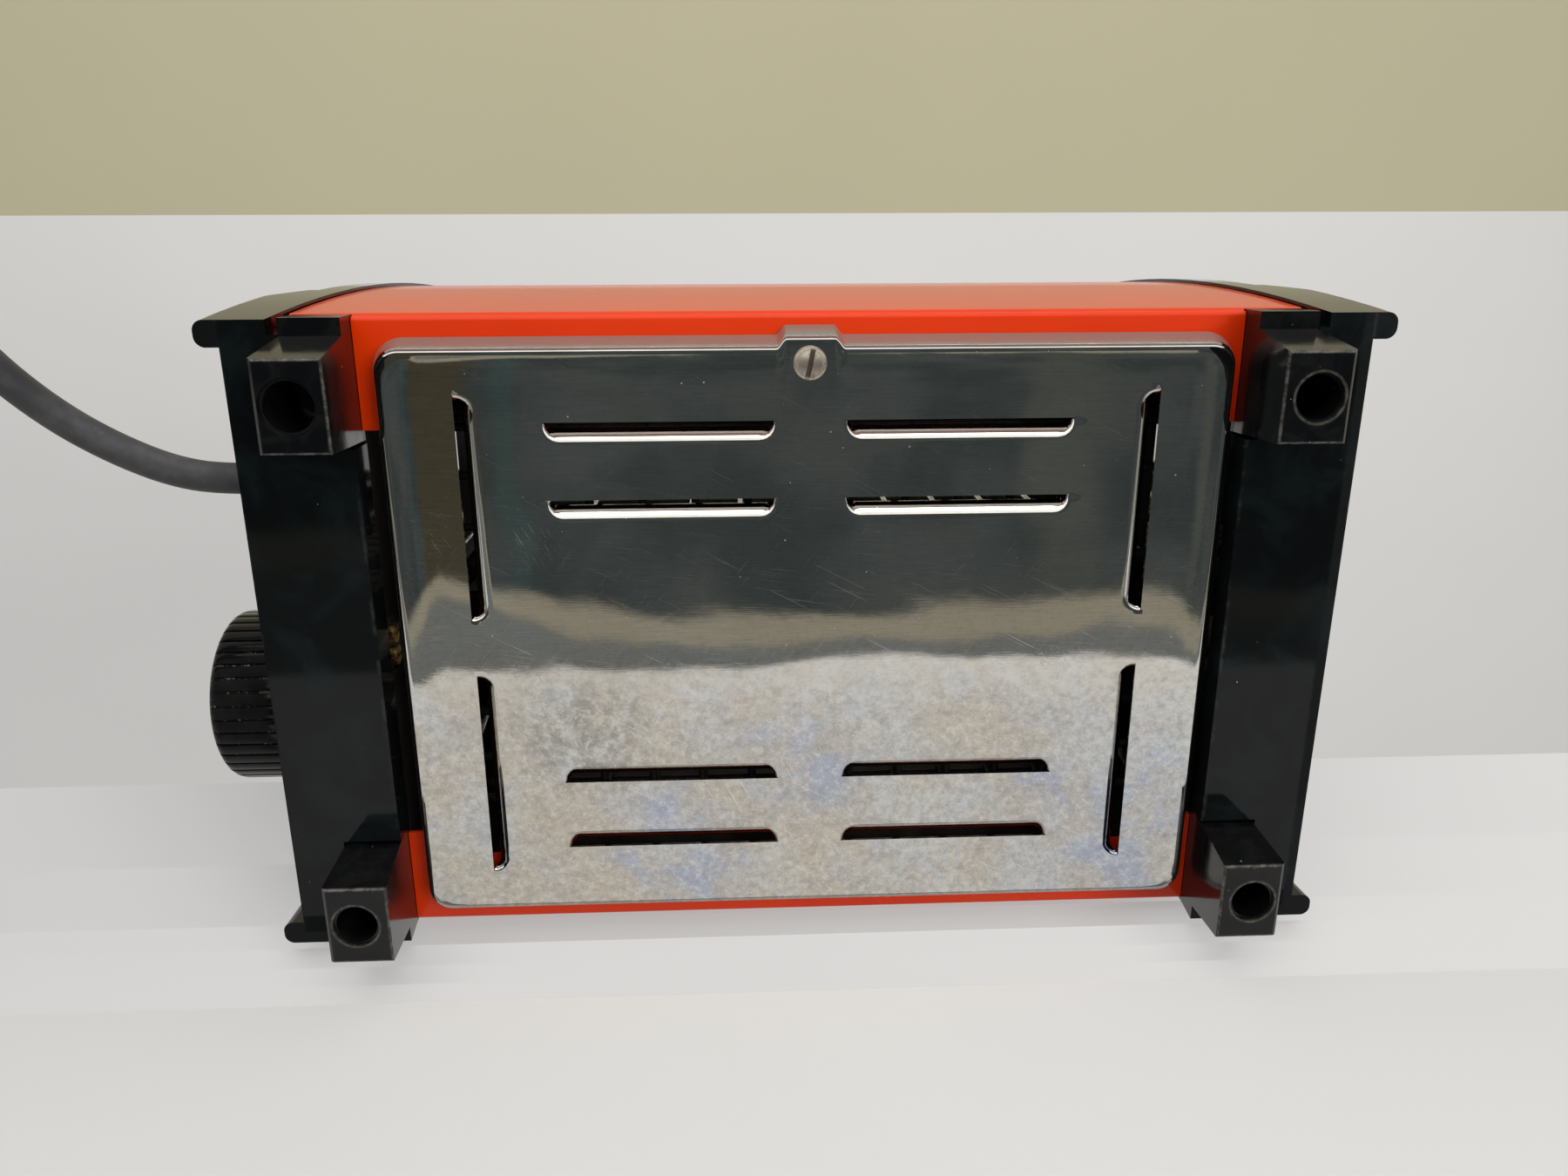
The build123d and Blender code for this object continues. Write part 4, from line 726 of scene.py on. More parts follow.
def lathe(profile, steps, place):
    """Vertices and faces of a profile of (along, radius) turned round an axis; place maps (along, a, b) to XYZ."""
    vertices, faces, rings = [], [], []
    for along, radius in profile:
        if radius == 0:
            rings.append([len(vertices)] * steps)
            vertices.append(place(along, 0.0, 0.0))
            continue
        rings.append(list(range(len(vertices), len(vertices) + steps)))
        for k in range(steps):
            angle = 2 * math.pi * k / steps
            vertices.append(place(along, radius * math.cos(angle), radius * math.sin(angle)))
    for ring, after in zip(rings, rings[1:]):
        for k in range(steps):
            corners = [ring[k], ring[(k + 1) % steps], after[(k + 1) % steps], after[k]]
            face = [c for n, c in enumerate(corners) if c not in corners[:n]]
            if len(face) > 2:
                faces.append(face)
    return vertices, faces


def skin(rings, closed=False):
    """Vertices and faces over a row of rings of points: its ends are joined if it is closed, and capped if not."""
    count, size = len(rings), len(rings[0])
    vertices = [point for ring in rings for point in ring]
    faces = []
    for ring in range(count if closed else count - 1):
        a, b = ring * size, (ring + 1) % count * size
        faces += [[a + k, a + (k + 1) % size, b + (k + 1) % size, b + k] for k in range(size)]
    if not closed:
        last = (count - 1) * size
        faces += [list(range(size)), list(range(last + size - 1, last - 1, -1))]
    return vertices, faces


def box_faces(size):
    """Vertices and faces of a plain box about the origin, for cutting."""
    x, y, z = (s / 2 for s in size)
    vertices = [(sx * x, sy * y, sz * z) for sx in (-1, 1) for sy in (-1, 1) for sz in (-1, 1)]
    faces = [(0, 1, 3, 2), (4, 6, 7, 5), (0, 4, 5, 1), (2, 3, 7, 6), (0, 2, 6, 4), (1, 5, 7, 3)]
    return vertices, faces


def eased(value, low, high):
    """Rises smoothly from 0 at low to 1 at high."""
    share = np.clip((value - low) / (high - low), 0.0, 1.0)
    return share * share * (3 - 2 * share)


# ---------------------------------------------------------------- geometry nodes
class Repeat:
    """A geometry nodes tree with named inputs, used once as a modifier."""

    def __init__(self, name):
        self.tree = bpy.data.node_groups.new(name, "GeometryNodeTree")
        self.tree.interface.new_socket("Geometry", in_out="OUTPUT", socket_type="NodeSocketGeometry")
        self.tree.interface.new_socket("Geometry", in_out="INPUT", socket_type="NodeSocketGeometry")
        self.values = {}
        self.start = self.tree.nodes.new("NodeGroupInput")

    def size(self, name, value, kind="NodeSocketFloat"):
        """Adds a named input, and gives its socket inside the tree."""
        item = self.tree.interface.new_socket(name, in_out="INPUT", socket_type=kind)
        self.values[item.identifier] = value
        return next(s for s in self.start.outputs if s.identifier == item.identifier)

    def add(self, kind, settings=None, values=None):
        """Adds one node: its settings first, then the values or links of its sockets."""
        node = self.tree.nodes.new(kind)
        for name, value in (settings or {}).items():
            setattr(node, name, value)
        for key, value in (values or {}).items():
            socket = node.inputs[key]
            if isinstance(value, bpy.types.NodeSocket):
                self.tree.links.new(value, socket)
            else:
                socket.default_value = value
        return node

    def math(self, operation, first, second):
        """Adds a Math node on two values."""
        return self.add("ShaderNodeMath", {"operation": operation}, {0: first, 1: second}).outputs[0]

    def copies(self, line, name, value):
        """The piece's mesh at every point of a line, with its rotation or scale given."""
        values = {"Points": line.outputs["Mesh"], "Instance": self.start.outputs["Geometry"], name: value}
        return self.add("GeometryNodeInstanceOnPoints", {}, values).outputs["Instances"]

    def finish(self, geometry, material):
        """Ends the tree: real geometry, with its material set."""
        real = self.add("GeometryNodeRealizeInstances", {}, {"Geometry": geometry}).outputs["Geometry"]
        done = self.add("GeometryNodeSetMaterial", {}, {"Geometry": real, "Material": material}).outputs["Geometry"]
        end = self.tree.nodes.new("NodeGroupOutput")
        self.tree.links.new(done, end.inputs[0])

    def run(self, piece):
        """Applies the tree to a piece, and leaves it a plain mesh."""
        modifier = piece.modifiers.new(self.tree.name, "NODES")
        modifier.node_group = self.tree
        for identifier, value in self.values.items():
            modifier[identifier] = value
        settle(piece)


def repeat_round_x(name, piece, count, centre, sweep=2 * math.pi):
    """Copies a piece's mesh round an axis that runs along X through centre, this many times over a sweep."""
    repeat = Repeat(name)
    number = repeat.size("Count", count, "NodeSocketInt")
    whole = repeat.size("Sweep", sweep)
    middle = repeat.size("Centre", centre, "NodeSocketVector")
    line = repeat.add("GeometryNodeMeshLine", {}, {"Count": number, "Offset": (0.0, 0.0, 0.0)})
    index = repeat.add("GeometryNodeInputIndex").outputs["Index"]
    gaps = number if sweep >= 2 * math.pi else repeat.math("SUBTRACT", number, 1.0)
    angle = repeat.math("MULTIPLY", index, repeat.math("DIVIDE", whole, gaps))
    turned = repeat.add("ShaderNodeCombineXYZ", {}, {"X": angle}).outputs[0]
    copies = repeat.copies(line, "Rotation", turned)
    moved = repeat.add("GeometryNodeTransform", {}, {"Geometry": copies, "Translation": middle})
    repeat.finish(moved.outputs["Geometry"], piece.data.materials[0])
    repeat.run(piece)


# ---------------------------------------------------------------- pieces
def coil_points():
    """Control points of the flat coil in metres, clockwise from its near side: a bottom layer, then a top one."""
    pull_in = 0.75 + 0.25 * math.cos(2 * math.pi / COIL_STEPS)
    points = []
    for step in range(1, round(COIL_TURNS * COIL_STEPS) + 1):
        turn, part = divmod(step / COIL_STEPS, 1.0)
        turn = int(turn)
        radius, height = COIL_TRACKS[turn]
        if turn < len(COIL_SHIFTS):
            share = float(eased(part, *COIL_SHIFTS[turn]))
            radius += (COIL_TRACKS[turn + 1][0] - radius) * share
            height += (COIL_TRACKS[turn + 1][1] - height) * share
        angle = math.pi - 2 * math.pi * step / COIL_STEPS
        reach = radius * MM / pull_in
        points.append((COIL_CENTRE[0] + reach * math.cos(angle), COIL_CENTRE[1] + reach * math.sin(angle),
                       height * MM))
    return points


def build_cord(sizes):
    """The mains lead, from the gland through its coil to the plug."""
    points = ROUTE + coil_points() + TAIL
    curve = bpy.data.curves.new("mains_cord", "CURVE")
    curve.dimensions = "3D"
    spline = curve.splines.new("NURBS")
    spline.points.add(len(points) - 1)
    for place, point in zip(points, spline.points):
        point.co = (*place, 1.0)
    spline.order_u = 3
    spline.use_endpoint_u = True
    spline.resolution_u = 5
    curve.bevel_depth = sizes.cord_diameter / 2
    curve.bevel_resolution = 5
    curve.use_fill_caps = True
    curve.materials.append(finish_for("cord_rubber"))
    piece = bpy.data.objects.new("mains_cord", curve)
    bpy.context.scene.collection.objects.link(piece)
    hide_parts("power_cord", "power_cord_coil", "power_cord_tail")
    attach(piece, "shell")


def grid_lines(half, rows, ends, extra):
    """Sorted grid lines over -half to half: fine at corners, across louvres and at their ends."""
    lines = set(np.round(np.linspace(-half, half, round(2 * half / 2.6)), 3))
    straight = half - PLATE_CORNER
    fine = [straight + PLATE_CORNER * k / 7 for k in range(8)] + [straight - 1.4, straight - 3.0]
    for row in rows:
        fine += [row - LOUVRE_W * k / 9 for k in range(10)] + [row + 0.5, row + 1.3, row - LOUVRE_W - 0.6]
    for low, high in ends:
        for k in range(9):
            step = (LOUVRE_END_R + LOUVRE_RAMP) * (k / 8) ** 1.25
            fine += [low + step, high - step]
    fine += extra
    fine = {round(v, 3) for v in fine}
    both = fine | {-v for v in fine}
    clear = {v for v in lines if all(abs(v - w) > 0.55 for w in both)}
    return np.array(sorted(clear | both))


def lip_profile(share):
    """Height of a lip from its root (0) to its edge (1): it curls in more and more."""
    return share**1.8


def louvre_push(along, across, row, ends, depth):
    """For points of one louvre: how far its sheet is pulled back from the cut edge, and pushed in.

    along runs from the middle outwards, across is measured outwards from the plate's middle line.
    """
    share = np.clip((across - (row - LOUVRE_W)) / LOUVRE_W, 0.0, 1.0)
    start = LOUVRE_END_R * (1 - np.sqrt(np.clip(1 - (1 - share) ** 2, 0.0, 1.0)))
    from_end = np.minimum(along - ends[0], ends[1] - along)
    opening = eased(from_end - start, 0.0, LOUVRE_RAMP)
    pull = (LOUVRE_W - LOUVRE_LIP) * opening * share
    return pull, depth * opening * lip_profile(share)


def louvred(us, vs, depth):
    """The grid with its lips pushed in, which of its points lie on a cut, and which cells reach a cut from the lip."""
    u, v = np.meshgrid(us, vs, indexing="ij")
    mid_u, mid_v = np.meshgrid((us[1:] + us[:-1]) / 2, (vs[1:] + vs[:-1]) / 2, indexing="ij")
    lip_u, lip_v, lip_z = u.copy(), v.copy(), np.zeros_like(u)
    cut, of_lip = np.zeros(u.shape, bool), np.zeros(mid_u.shape, bool)
    for row, ends, sideways in [(row, LOUVRE_ENDS, False) for row in LOUVRE_ROWS] + [(SIDE_ROW, SIDE_ENDS, True)]:
        along, across = (np.abs(v), np.abs(u)) if sideways else (np.abs(u), np.abs(v))
        inside = (across > row - LOUVRE_W - TOUCHING) & (across < row + TOUCHING)
        inside &= (along > ends[0] - TOUCHING) & (along < ends[1] + TOUCHING)
        pull, push = louvre_push(along, across, row, ends, depth)
        pull, push = np.where(inside, pull, 0.0), np.where(inside, push, 0.0)
        if sideways:
            lip_u -= np.sign(u) * pull
        else:
            lip_v -= np.sign(v) * pull
        lip_z += push
        between = (along > ends[0] + TOUCHING) & (along < ends[1] - TOUCHING)
        cut |= inside & (np.abs(across - row) < TOUCHING) & between
        along, across = (np.abs(mid_v), np.abs(mid_u)) if sideways else (np.abs(mid_u), np.abs(mid_v))
        of_lip |= (across > row - LOUVRE_W) & (across < row) & (along > ends[0]) & (along < ends[1])
    return (lip_u, lip_v, lip_z), cut, of_lip


def bent(sheet, flat_u, flat_v, crown):
    """A sheet's points in place: corners rounded, the edge bent by the crown, and the screw's tab drawn out."""
    u, v, z = sheet
    straight_u, straight_v = FLAT_X - PLATE_CORNER, FLAT_Y - PLATE_CORNER
    a = np.clip((np.abs(u) - straight_u) / PLATE_CORNER, 0.0, 1.0)
    b = np.clip((np.abs(v) - straight_v) / PLATE_CORNER, 0.0, 1.0)
    corner = (a > 0) & (b > 0)
    round_u = np.sign(u) * (straight_u + PLATE_CORNER * a * np.sqrt(1 - b * b / 2))
    round_v = np.sign(v) * (straight_v + PLATE_CORNER * b * np.sqrt(1 - a * a / 2))
    u, v = np.where(corner, round_u, u), np.where(corner, round_v, v)
    edge_u = 1 - np.clip((FLAT_X - np.abs(flat_u)) / PLATE_BEND, 0.0, 1.0)
    edge_v = 1 - np.clip((FLAT_Y - np.abs(flat_v)) / PLATE_BEND, 0.0, 1.0)
    bend = np.minimum(np.hypot(edge_u, edge_v), 1.0)
    on_tab = 1 - eased(np.abs(flat_u), TAB_HALF, TAB_HALF + TAB_FLANK)
    reach = np.clip((flat_v - (FLAT_Y - TAB_DEEP)) / TAB_DEEP, 0.0, 1.0)
    z = z + crown * bend**2.5 * (1 - 0.8 * on_tab * (flat_v > 0))
    return np.stack([u + PLATE_SHIFT, v + TAB_OUT * on_tab * reach, PLATE_Z + z], -1)


def outward_at(i, j, us, vs, point):
    """The direction in which the wall leaves the flat at a point of its boundary."""
    straight_u, straight_v = FLAT_X - PLATE_CORNER, FLAT_Y - PLATE_CORNER
    a, b = max(abs(us[i]) - straight_u, 0.0), max(abs(vs[j]) - straight_v, 0.0)
    if a > 0 and b > 0:
        centre = np.array([math.copysign(straight_u, us[i]), math.copysign(straight_v, vs[j])])
        away = np.array([point[0] - PLATE_SHIFT, point[1]]) - centre
        return away / np.linalg.norm(away)
    if a > b or (i in (0, len(us) - 1) and j not in (0, len(vs) - 1)):
        return np.array([math.copysign(1, us[i]), 0.0])
    return np.array([0.0, math.copysign(1, vs[j])])


def wall_steps():
    """How far out and up each ring of the wall stands from the flat's boundary: round the bend, then straight."""
    turns = [PLATE_LEAN * k / 6 for k in range(1, 7)]
    steps = [(PLATE_EDGE_R * math.sin(turn), PLATE_EDGE_R * (1 - math.cos(turn))) for turn in turns]
    start_out, start_up = steps[-1]
    end_out, end_up = PLATE_INSET + PLATE_FLARE, PLATE_RIM_Z - PLATE_Z
    for share in (0.2, 0.6, 1.0):
        steps.append((start_out + (end_out - start_out) * share, start_up + (end_up - start_up) * share))
    return steps


def add_wall(vertices, faces, us, vs):
    """Adds the flared wall to the flat, one ring of its boundary after another."""
    n, m = len(us), len(vs)
    loop = [(i, 0) for i in range(n)] + [(n - 1, j) for j in range(1, m)]
    loop += [(i, m - 1) for i in range(n - 2, -1, -1)] + [(0, j) for j in range(m - 2, 0, -1)]
    ring = [i * m + j for i, j in loop]
    base = [vertices[k] for k in ring]
    away = [outward_at(i, j, us, vs, point) for (i, j), point in zip(loop, base)]
    for out, up in wall_steps():
        fresh = []
        for (x, y, z), (dx, dy) in zip(base, away):
            fresh.append(len(vertices))
            lift = (z - PLATE_Z) * (1 - up / (PLATE_RIM_Z - PLATE_Z))
            vertices.append((x + dx * out, y + dy * out, PLATE_Z + lift + up))
        for k in range(len(loop)):
            after = (k + 1) % len(loop)
            faces.append([ring[k], ring[after], fresh[after], fresh[k]])
        ring = fresh


def build_base_plate(sizes):
    """The pressed steel plate: twelve louvres, soft edges, a flared wall and a screw tab."""
    tab = [TAB_HALF + TAB_FLANK * k / 8 for k in range(9)] + [TAB_HALF - 1.0, 2.5, 0.0]
    us = grid_lines(FLAT_X, [SIDE_ROW], [LOUVRE_ENDS], tab)
    vs = grid_lines(FLAT_Y, LOUVRE_ROWS, [SIDE_ENDS], [])
    u, v = np.meshgrid(us, vs, indexing="ij")
    pressed, cut, of_lip = louvred(us, vs, sizes.louvre_depth / MM)
    crown = sizes.crown / MM
    flat = bent((u, v, np.zeros_like(u)), u, v, crown)
    lips = bent(pressed, u, v, crown)
    sheet = np.where((pressed[2] > 0)[..., None] & ~cut[..., None], lips, flat)

    # Each point on a cut is there twice: once for the flat, and once for the lip's edge
    vertices = [tuple(p) for p in sheet.reshape(-1, 3)]
    index = np.arange(u.size).reshape(u.shape)
    edge_index = index.copy()
    for i, j in zip(*np.nonzero(cut)):
        edge_index[i, j] = len(vertices)
        vertices.append(tuple(lips[i, j]))
    faces = []
    for i in range(len(us) - 1):
        for j in range(len(vs) - 1):
            table = edge_index if of_lip[i, j] else index
            faces.append([int(table[p]) for p in ((i, j), (i, j + 1), (i + 1, j + 1), (i + 1, j))])
    add_wall(vertices, faces, us, vs)

    # The visible side looks down, and the sheet's thickness goes inwards
    piece = new_piece("pressed_base_plate", vertices, faces, "stainless")
    work = bmesh.new()
    work.from_mesh(piece.data)
    bmesh.ops.recalc_face_normals(work, faces=work.faces)
    work.faces.ensure_lookup_table()
    middle = min(work.faces, key=lambda face: (face.calc_center_median() - Vector((0, 0, PLATE_Z * MM))).length)
    if middle.normal.z > 0:
        bmesh.ops.reverse_faces(work, faces=work.faces)
    work.to_mesh(piece.data)
    work.free()
    thick = piece.modifiers.new("sheet", "SOLIDIFY")
    thick.thickness = sizes.sheet
    thick.offset = -1.0
    thick.use_even_offset = True
    settle(piece)
    crisp(piece, 50)
    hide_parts("base_plate")
    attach(piece, "shell")


def screw_profile():
    """Half the screw's outline, from the middle of its softly domed head up to the end of its shank."""
    dome, crown, shank_r, end_z = 0.96, 0.42, 2.0, 30.3
    flat_r = SCREW_R - dome
    profile = [(SCREW_LOW + crown * (r / flat_r) ** 2, r) for r in (0.0, 0.6, 1.1, 1.6, 2.1, flat_r)]
    for k in range(1, 9):
        angle = math.pi / 2 * (0.2 + 0.8 * k / 8)
        radius = flat_r + dome * (math.sin(angle) - 0.3) / 0.7 if k < 8 else SCREW_R
        profile.append((SCREW_LOW + crown + (dome - crown) * (1 - math.cos(angle)), radius))
    profile += [(PLATE_Z - 0.12, SCREW_R), (PLATE_Z - 0.01, SCREW_R - 0.1), (PLATE_Z - 0.01, shank_r)]
    return profile + [(end_z - 0.3, shank_r), (end_z, shank_r - 0.3), (end_z, 0.0)]


def build_plate_screw():
    """A slotted cheese head, softly domed, with its shank through the plate."""
    vertices, faces = lathe(screw_profile(), 72, lambda z, a, b: (SCREW_AT[0] + a, SCREW_AT[1] + b, z))
    head = new_piece("base_plate_slot_screw", vertices, faces, "screw_nickel")
    outward(head)
    cutter = new_piece("slot_cutter", *box_faces(SLOT_BOX), "screw_nickel", smooth=False)
    place = Matrix.Translation((SCREW_AT[0] * MM, SCREW_AT[1] * MM, SCREW_LOW * MM))
    cutter.data.transform(place @ Matrix.Rotation(math.radians(SLOT_TURN), 4, "Z"))
    outward(cutter)
    slot_cut = head.modifiers.new("slot", "BOOLEAN")
    slot_cut.object = cutter
    slot_cut.solver = "EXACT"
    settle(head)
    bpy.data.objects.remove(cutter)
    soften = head.modifiers.new("soften", "BEVEL")
    soften.width = 0.00012
    soften.segments = 2
    soften.limit_method = "ANGLE"
    soften.angle_limit = math.radians(50)
    settle(head)
    crisp(head, 40)
    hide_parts("base_plate_screw")
    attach(head, "shell")


def knob_hub():
    """Vertices and faces of the knob's hub: a dished face, a rounded rim, and a bore from behind."""
    groove_r = KNOB_R - 0.5
    profile = [(KNOB_BACK, KNOB_BORE_R), (KNOB_BACK, groove_r - 0.5), (KNOB_BACK + 0.15, groove_r - 0.15)]
    profile += [(KNOB_BACK + 0.5, groove_r), (KNOB_FRONT - 2.2, groove_r)]
    for k in range(1, 8):
        angle = math.pi / 2 * k / 8
        profile.append((KNOB_FRONT - 2.2 + 2.2 * math.sin(angle), groove_r - 2.0 * (1 - math.cos(angle))))
    profile += [(KNOB_FRONT, groove_r - 2.2), (KNOB_FRONT, groove_r - 4.0), (KNOB_FRONT - 0.12, groove_r - 4.6)]
    profile += [(KNOB_FRONT - 0.5, groove_r - 5.4), (KNOB_FRONT - 0.75, groove_r - 7.0), (KNOB_FRONT - 0.8, 5.0)]
    profile += [(KNOB_FRONT - 0.8, 0.0)]
    bore = [(KNOB_BACK + 11.0, 0.0), (KNOB_BACK + 11.0, KNOB_BORE_R), (KNOB_BACK, KNOB_BORE_R)]
    vertices, faces = [], []
    for outline in (profile, bore):
        points, cells = lathe(outline, 120, lambda x, a, b: (x, KNOB_AXIS[0] + a, KNOB_AXIS[1] + b))
        faces += [[corner + len(vertices) for corner in cell] for cell in cells]
        vertices += points
    return vertices, faces


def knob_rib(ribs, groove):
    """Vertices and faces of one rib at the top of a wheel about the X axis; groove is the gap to the next."""
    half = (2 * math.pi * KNOB_R / ribs - groove) / 2
    stations = [(KNOB_BACK + 0.25, 19.62), (KNOB_BACK + 0.45, 19.9), (KNOB_BACK + 0.8, KNOB_R)]
    stations += [(KNOB_FRONT - 2.6, KNOB_R), (KNOB_FRONT - 1.7, 19.86), (KNOB_FRONT - 1.0, 19.5)]
    stations += [(KNOB_FRONT - 0.5, 18.9), (KNOB_FRONT - 0.2, 18.2), (KNOB_FRONT - 0.08, 17.6)]
    section = [(-half - 0.05, -1.2), (-half, -0.16), (-half + 0.05, -0.05), (-half + 0.16, 0.0)]
    section += [(-across, down) for across, down in reversed(section)]
    rings = []
    for x, radius in stations:
        share = 0.6 if radius < 19 else 1.0  # the ribs are shallower over the rounded front
        rings.append([(x, across, radius + down * share) for across, down in section])
    return skin(rings)


def build_knob(sizes):
    """The timer knob: a hub with a dished face and a pointer, ribs round it, and marks on the cap behind."""
    hub = new_piece("timer_knob_hub", *knob_hub(), "knob_black")
    outward(hub, merge=0.001)
    crisp(hub, 45)
    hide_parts("timer_knob")

    ribs = new_piece("timer_knob_ribs", *knob_rib(sizes.knob_ribs, sizes.knob_groove / MM), "knob_black")
    outward(ribs)
    centre = (0.0, KNOB_AXIS[0] * MM, KNOB_AXIS[1] * MM)
    repeat_round_x("knob_ribs", ribs, sizes.knob_ribs, centre)
    crisp(ribs, 25)

    pointer = new_piece("timer_knob_pointer", *rounded_bar(1.5, 9.5, 0.5), "marks")
    on_face = ((KNOB_FRONT - 0.82) * MM, KNOB_AXIS[0] * MM, (KNOB_AXIS[1] + 8.2) * MM)
    pointer.data.transform(Matrix.Translation(on_face))
    outward(pointer)
    crisp(pointer, 40)
    for piece in (hub, ribs, pointer):
        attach(piece, "timer_dial")

    marks = new_piece("dial_marks", *rounded_bar(0.55, 2.2, 0.12), "marks", smooth=False)
    marks.data.transform(Matrix.Translation((0.0, 0.0, DIAL_R * MM)))
    marks.data.transform(Matrix.Rotation(math.radians(-150), 4, "X"))
    outward(marks)
    centre = (DIAL_X * MM, KNOB_AXIS[0] * MM, KNOB_AXIS[1] * MM)
    repeat_round_x("dial_marks", marks, sizes.dial_marks, centre, math.radians(300))
    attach(marks, "shell")


def rounded_bar(width, length, thick):
    """A flat bar with round ends, long along Z, standing off the YZ plane by its thickness."""
    outline = []
    radius = width / 2
    for centre, first in ((length / 2 - radius, 0.0), (-length / 2 + radius, math.pi)):
        for k in range(9):
            angle = first + math.pi * k / 8
            outline.append((radius * math.cos(angle), centre + radius * math.sin(angle)))
    return skin([[(0.0, y, z) for y, z in outline], [(thick, y * 0.94, z * 0.985) for y, z in outline]])


def plug_block():
    """Vertices and faces of the plug: a rounded block that narrows to its sleeve."""
    # Y of each ring, half its width and height, and how square it is: 2 is an ellipse
    stations = [
        (PLUG_FACE, 11.6, 6.1, 4.0),
        (PLUG_FACE + 0.3, 12.4, 6.9, 4.0),
        (PLUG_FACE + 1.0, 12.9, 7.4, 4.0),
        (PLUG_FACE + 2.0, 13.0, 7.5, 4.0),
        (PLUG_FACE + 13.0, 13.0, 7.5, 4.0),
        (PLUG_FACE + 15.0, 12.8, 7.45, 3.8),
        (PLUG_FACE + 17.5, 11.6, 7.2, 3.4),
        (PLUG_FACE + 20.0, 9.6, 6.8, 3.0),
        (PLUG_FACE + 22.0, 7.8, 6.3, 2.6),
        (PLUG_FACE + 23.5, 6.6, 5.9, 2.2),
        (PLUG_FACE + 25.0, 6.0, 5.6, 2.0),
        (PLUG_FACE + 27.0, 5.7, 5.4, 2.0),
        (PLUG_END - 0.6, 4.7, 4.7, 2.0),
        (PLUG_END - 0.1, 4.4, 4.4, 2.0),
        (PLUG_END, 3.9, 3.9, 2.0),
    ]
    steps = 72
    rings = []
    for y, wide, high, power in stations:
        ring = []
        for k in range(steps):
            angle = 2 * math.pi * k / steps
            c, s = math.cos(angle), math.sin(angle)
            x = PLUG_X + wide * math.copysign(abs(c) ** (2 / power), c)
            ring.append((x, y, PLUG_Z + high * math.copysign(abs(s) ** (2 / power), s)))
        rings.append(ring)
    return skin(rings)


def build_plug(sizes):
    """A moulded plug: a rounded block that narrows to a ringed sleeve, with grip ribs on both sides."""
    plug = new_piece("mains_plug", *plug_block(), "cord_rubber")
    outward(plug)
    crisp(plug, 50)
    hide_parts("plug_body")

    rings = new_piece("plug_sleeve_rings", *tube_ring(0.55), "cord_rubber")
    outward(rings)
    repeat_sleeve(rings, sizes.sleeve_rings)
    crisp(rings, 60)

    grips = new_piece("plug_grips", *grip_rib(), "cord_rubber")
    outward(grips)
    repeat_grips(grips)
    crisp(grips, 50)
    for piece in (plug, rings, grips):
        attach(piece, "shell")


def tube_ring(thick):
    """A ring about Y with a round section, to be scaled to its place on the sleeve."""
    middle_r, around, section = 5.0, 48, 10
    rings = []
    for k in range(around):
        angle = 2 * math.pi * k / around
        ring = []
        for s in range(section):
            turn = 2 * math.pi * s / section
            radius = middle_r + thick * math.cos(turn)
            ring.append((radius * math.cos(angle), thick * math.sin(turn), radius * math.sin(angle)))
        rings.append(ring)
    return skin(rings, closed=True)


def repeat_sleeve(piece, count):
    """Sets rings along the sleeve, each a little smaller than the one before."""
    repeat = Repeat("sleeve_rings")
    number = repeat.size("Count", count, "NodeSocketInt")
    first = repeat.size("First ring", 1.1)
    last = repeat.size("Last ring", 0.92)
    start = (PLUG_X * MM, (PLUG_END - 9.4) * MM, PLUG_Z * MM)
    end = (PLUG_X * MM, (PLUG_END - 1.2) * MM, PLUG_Z * MM)
    line = repeat.add(
        "GeometryNodeMeshLine", {"mode": "END_POINTS"}, {"Count": number, "Start Location": start, "Offset": end}
    )
    index = repeat.add("GeometryNodeInputIndex").outputs["Index"]
    share = repeat.math("DIVIDE", index, repeat.math("SUBTRACT", number, 1.0))
    size = repeat.math("ADD", first, repeat.math("MULTIPLY", share, repeat.math("SUBTRACT", last, first)))
    scale = repeat.add("ShaderNodeCombineXYZ", {}, {"X": size, "Y": 1.0, "Z": size}).outputs[0]
    repeat.finish(repeat.copies(line, "Scale", scale), piece.data.materials[0])
    repeat.run(piece)


def grip_rib():
    """One grip rib: a half-round bar along Z that stands on the plug's side."""
    # Height of each ring, and how far it has swelled
    stations = [(-5.2, 0.05), (-5.0, 0.6), (-4.4, 1.0), (4.4, 1.0), (5.0, 0.6), (5.2, 0.05)]
    angles = [math.pi * k / 8 for k in range(9)]
    rings = []
    for z, grow in stations:
        rings.append([(-0.35 + 0.75 * grow * math.sin(angle), 0.55 * math.cos(angle), z) for angle in angles])
    return skin(rings)


def repeat_grips(piece):
    """Sets the grip ribs in a row on each side of the plug."""
    repeat = Repeat("plug_grips")
    number = repeat.size("Count", GRIP_COUNT, "NodeSocketInt")
    step = repeat.size("Pitch", GRIP_PITCH * MM)
    side = repeat.size("Reach", GRIP_REACH * MM)
    start_y = (PLUG_FACE + 4.0) * MM
    joined = repeat.add("GeometryNodeJoinGeometry")
    for sign in (1, -1):
        out = repeat.math("MULTIPLY", side, float(sign))
        x = repeat.math("ADD", out, PLUG_X * MM)
        start = repeat.add("ShaderNodeCombineXYZ", {}, {"X": x, "Y": start_y, "Z": PLUG_Z * MM}).outputs[0]
        offset = repeat.add("ShaderNodeCombineXYZ", {}, {"Y": step}).outputs[0]
        line = repeat.add("GeometryNodeMeshLine", {}, {"Count": number, "Start Location": start, "Offset": offset})
        row = repeat.copies(line, "Rotation", (0.0, 0.0, 0.0 if sign > 0 else math.pi))
        repeat.tree.links.new(row, joined.inputs["Geometry"])
    repeat.finish(joined.outputs["Geometry"], piece.data.materials[0])
    repeat.run(piece)


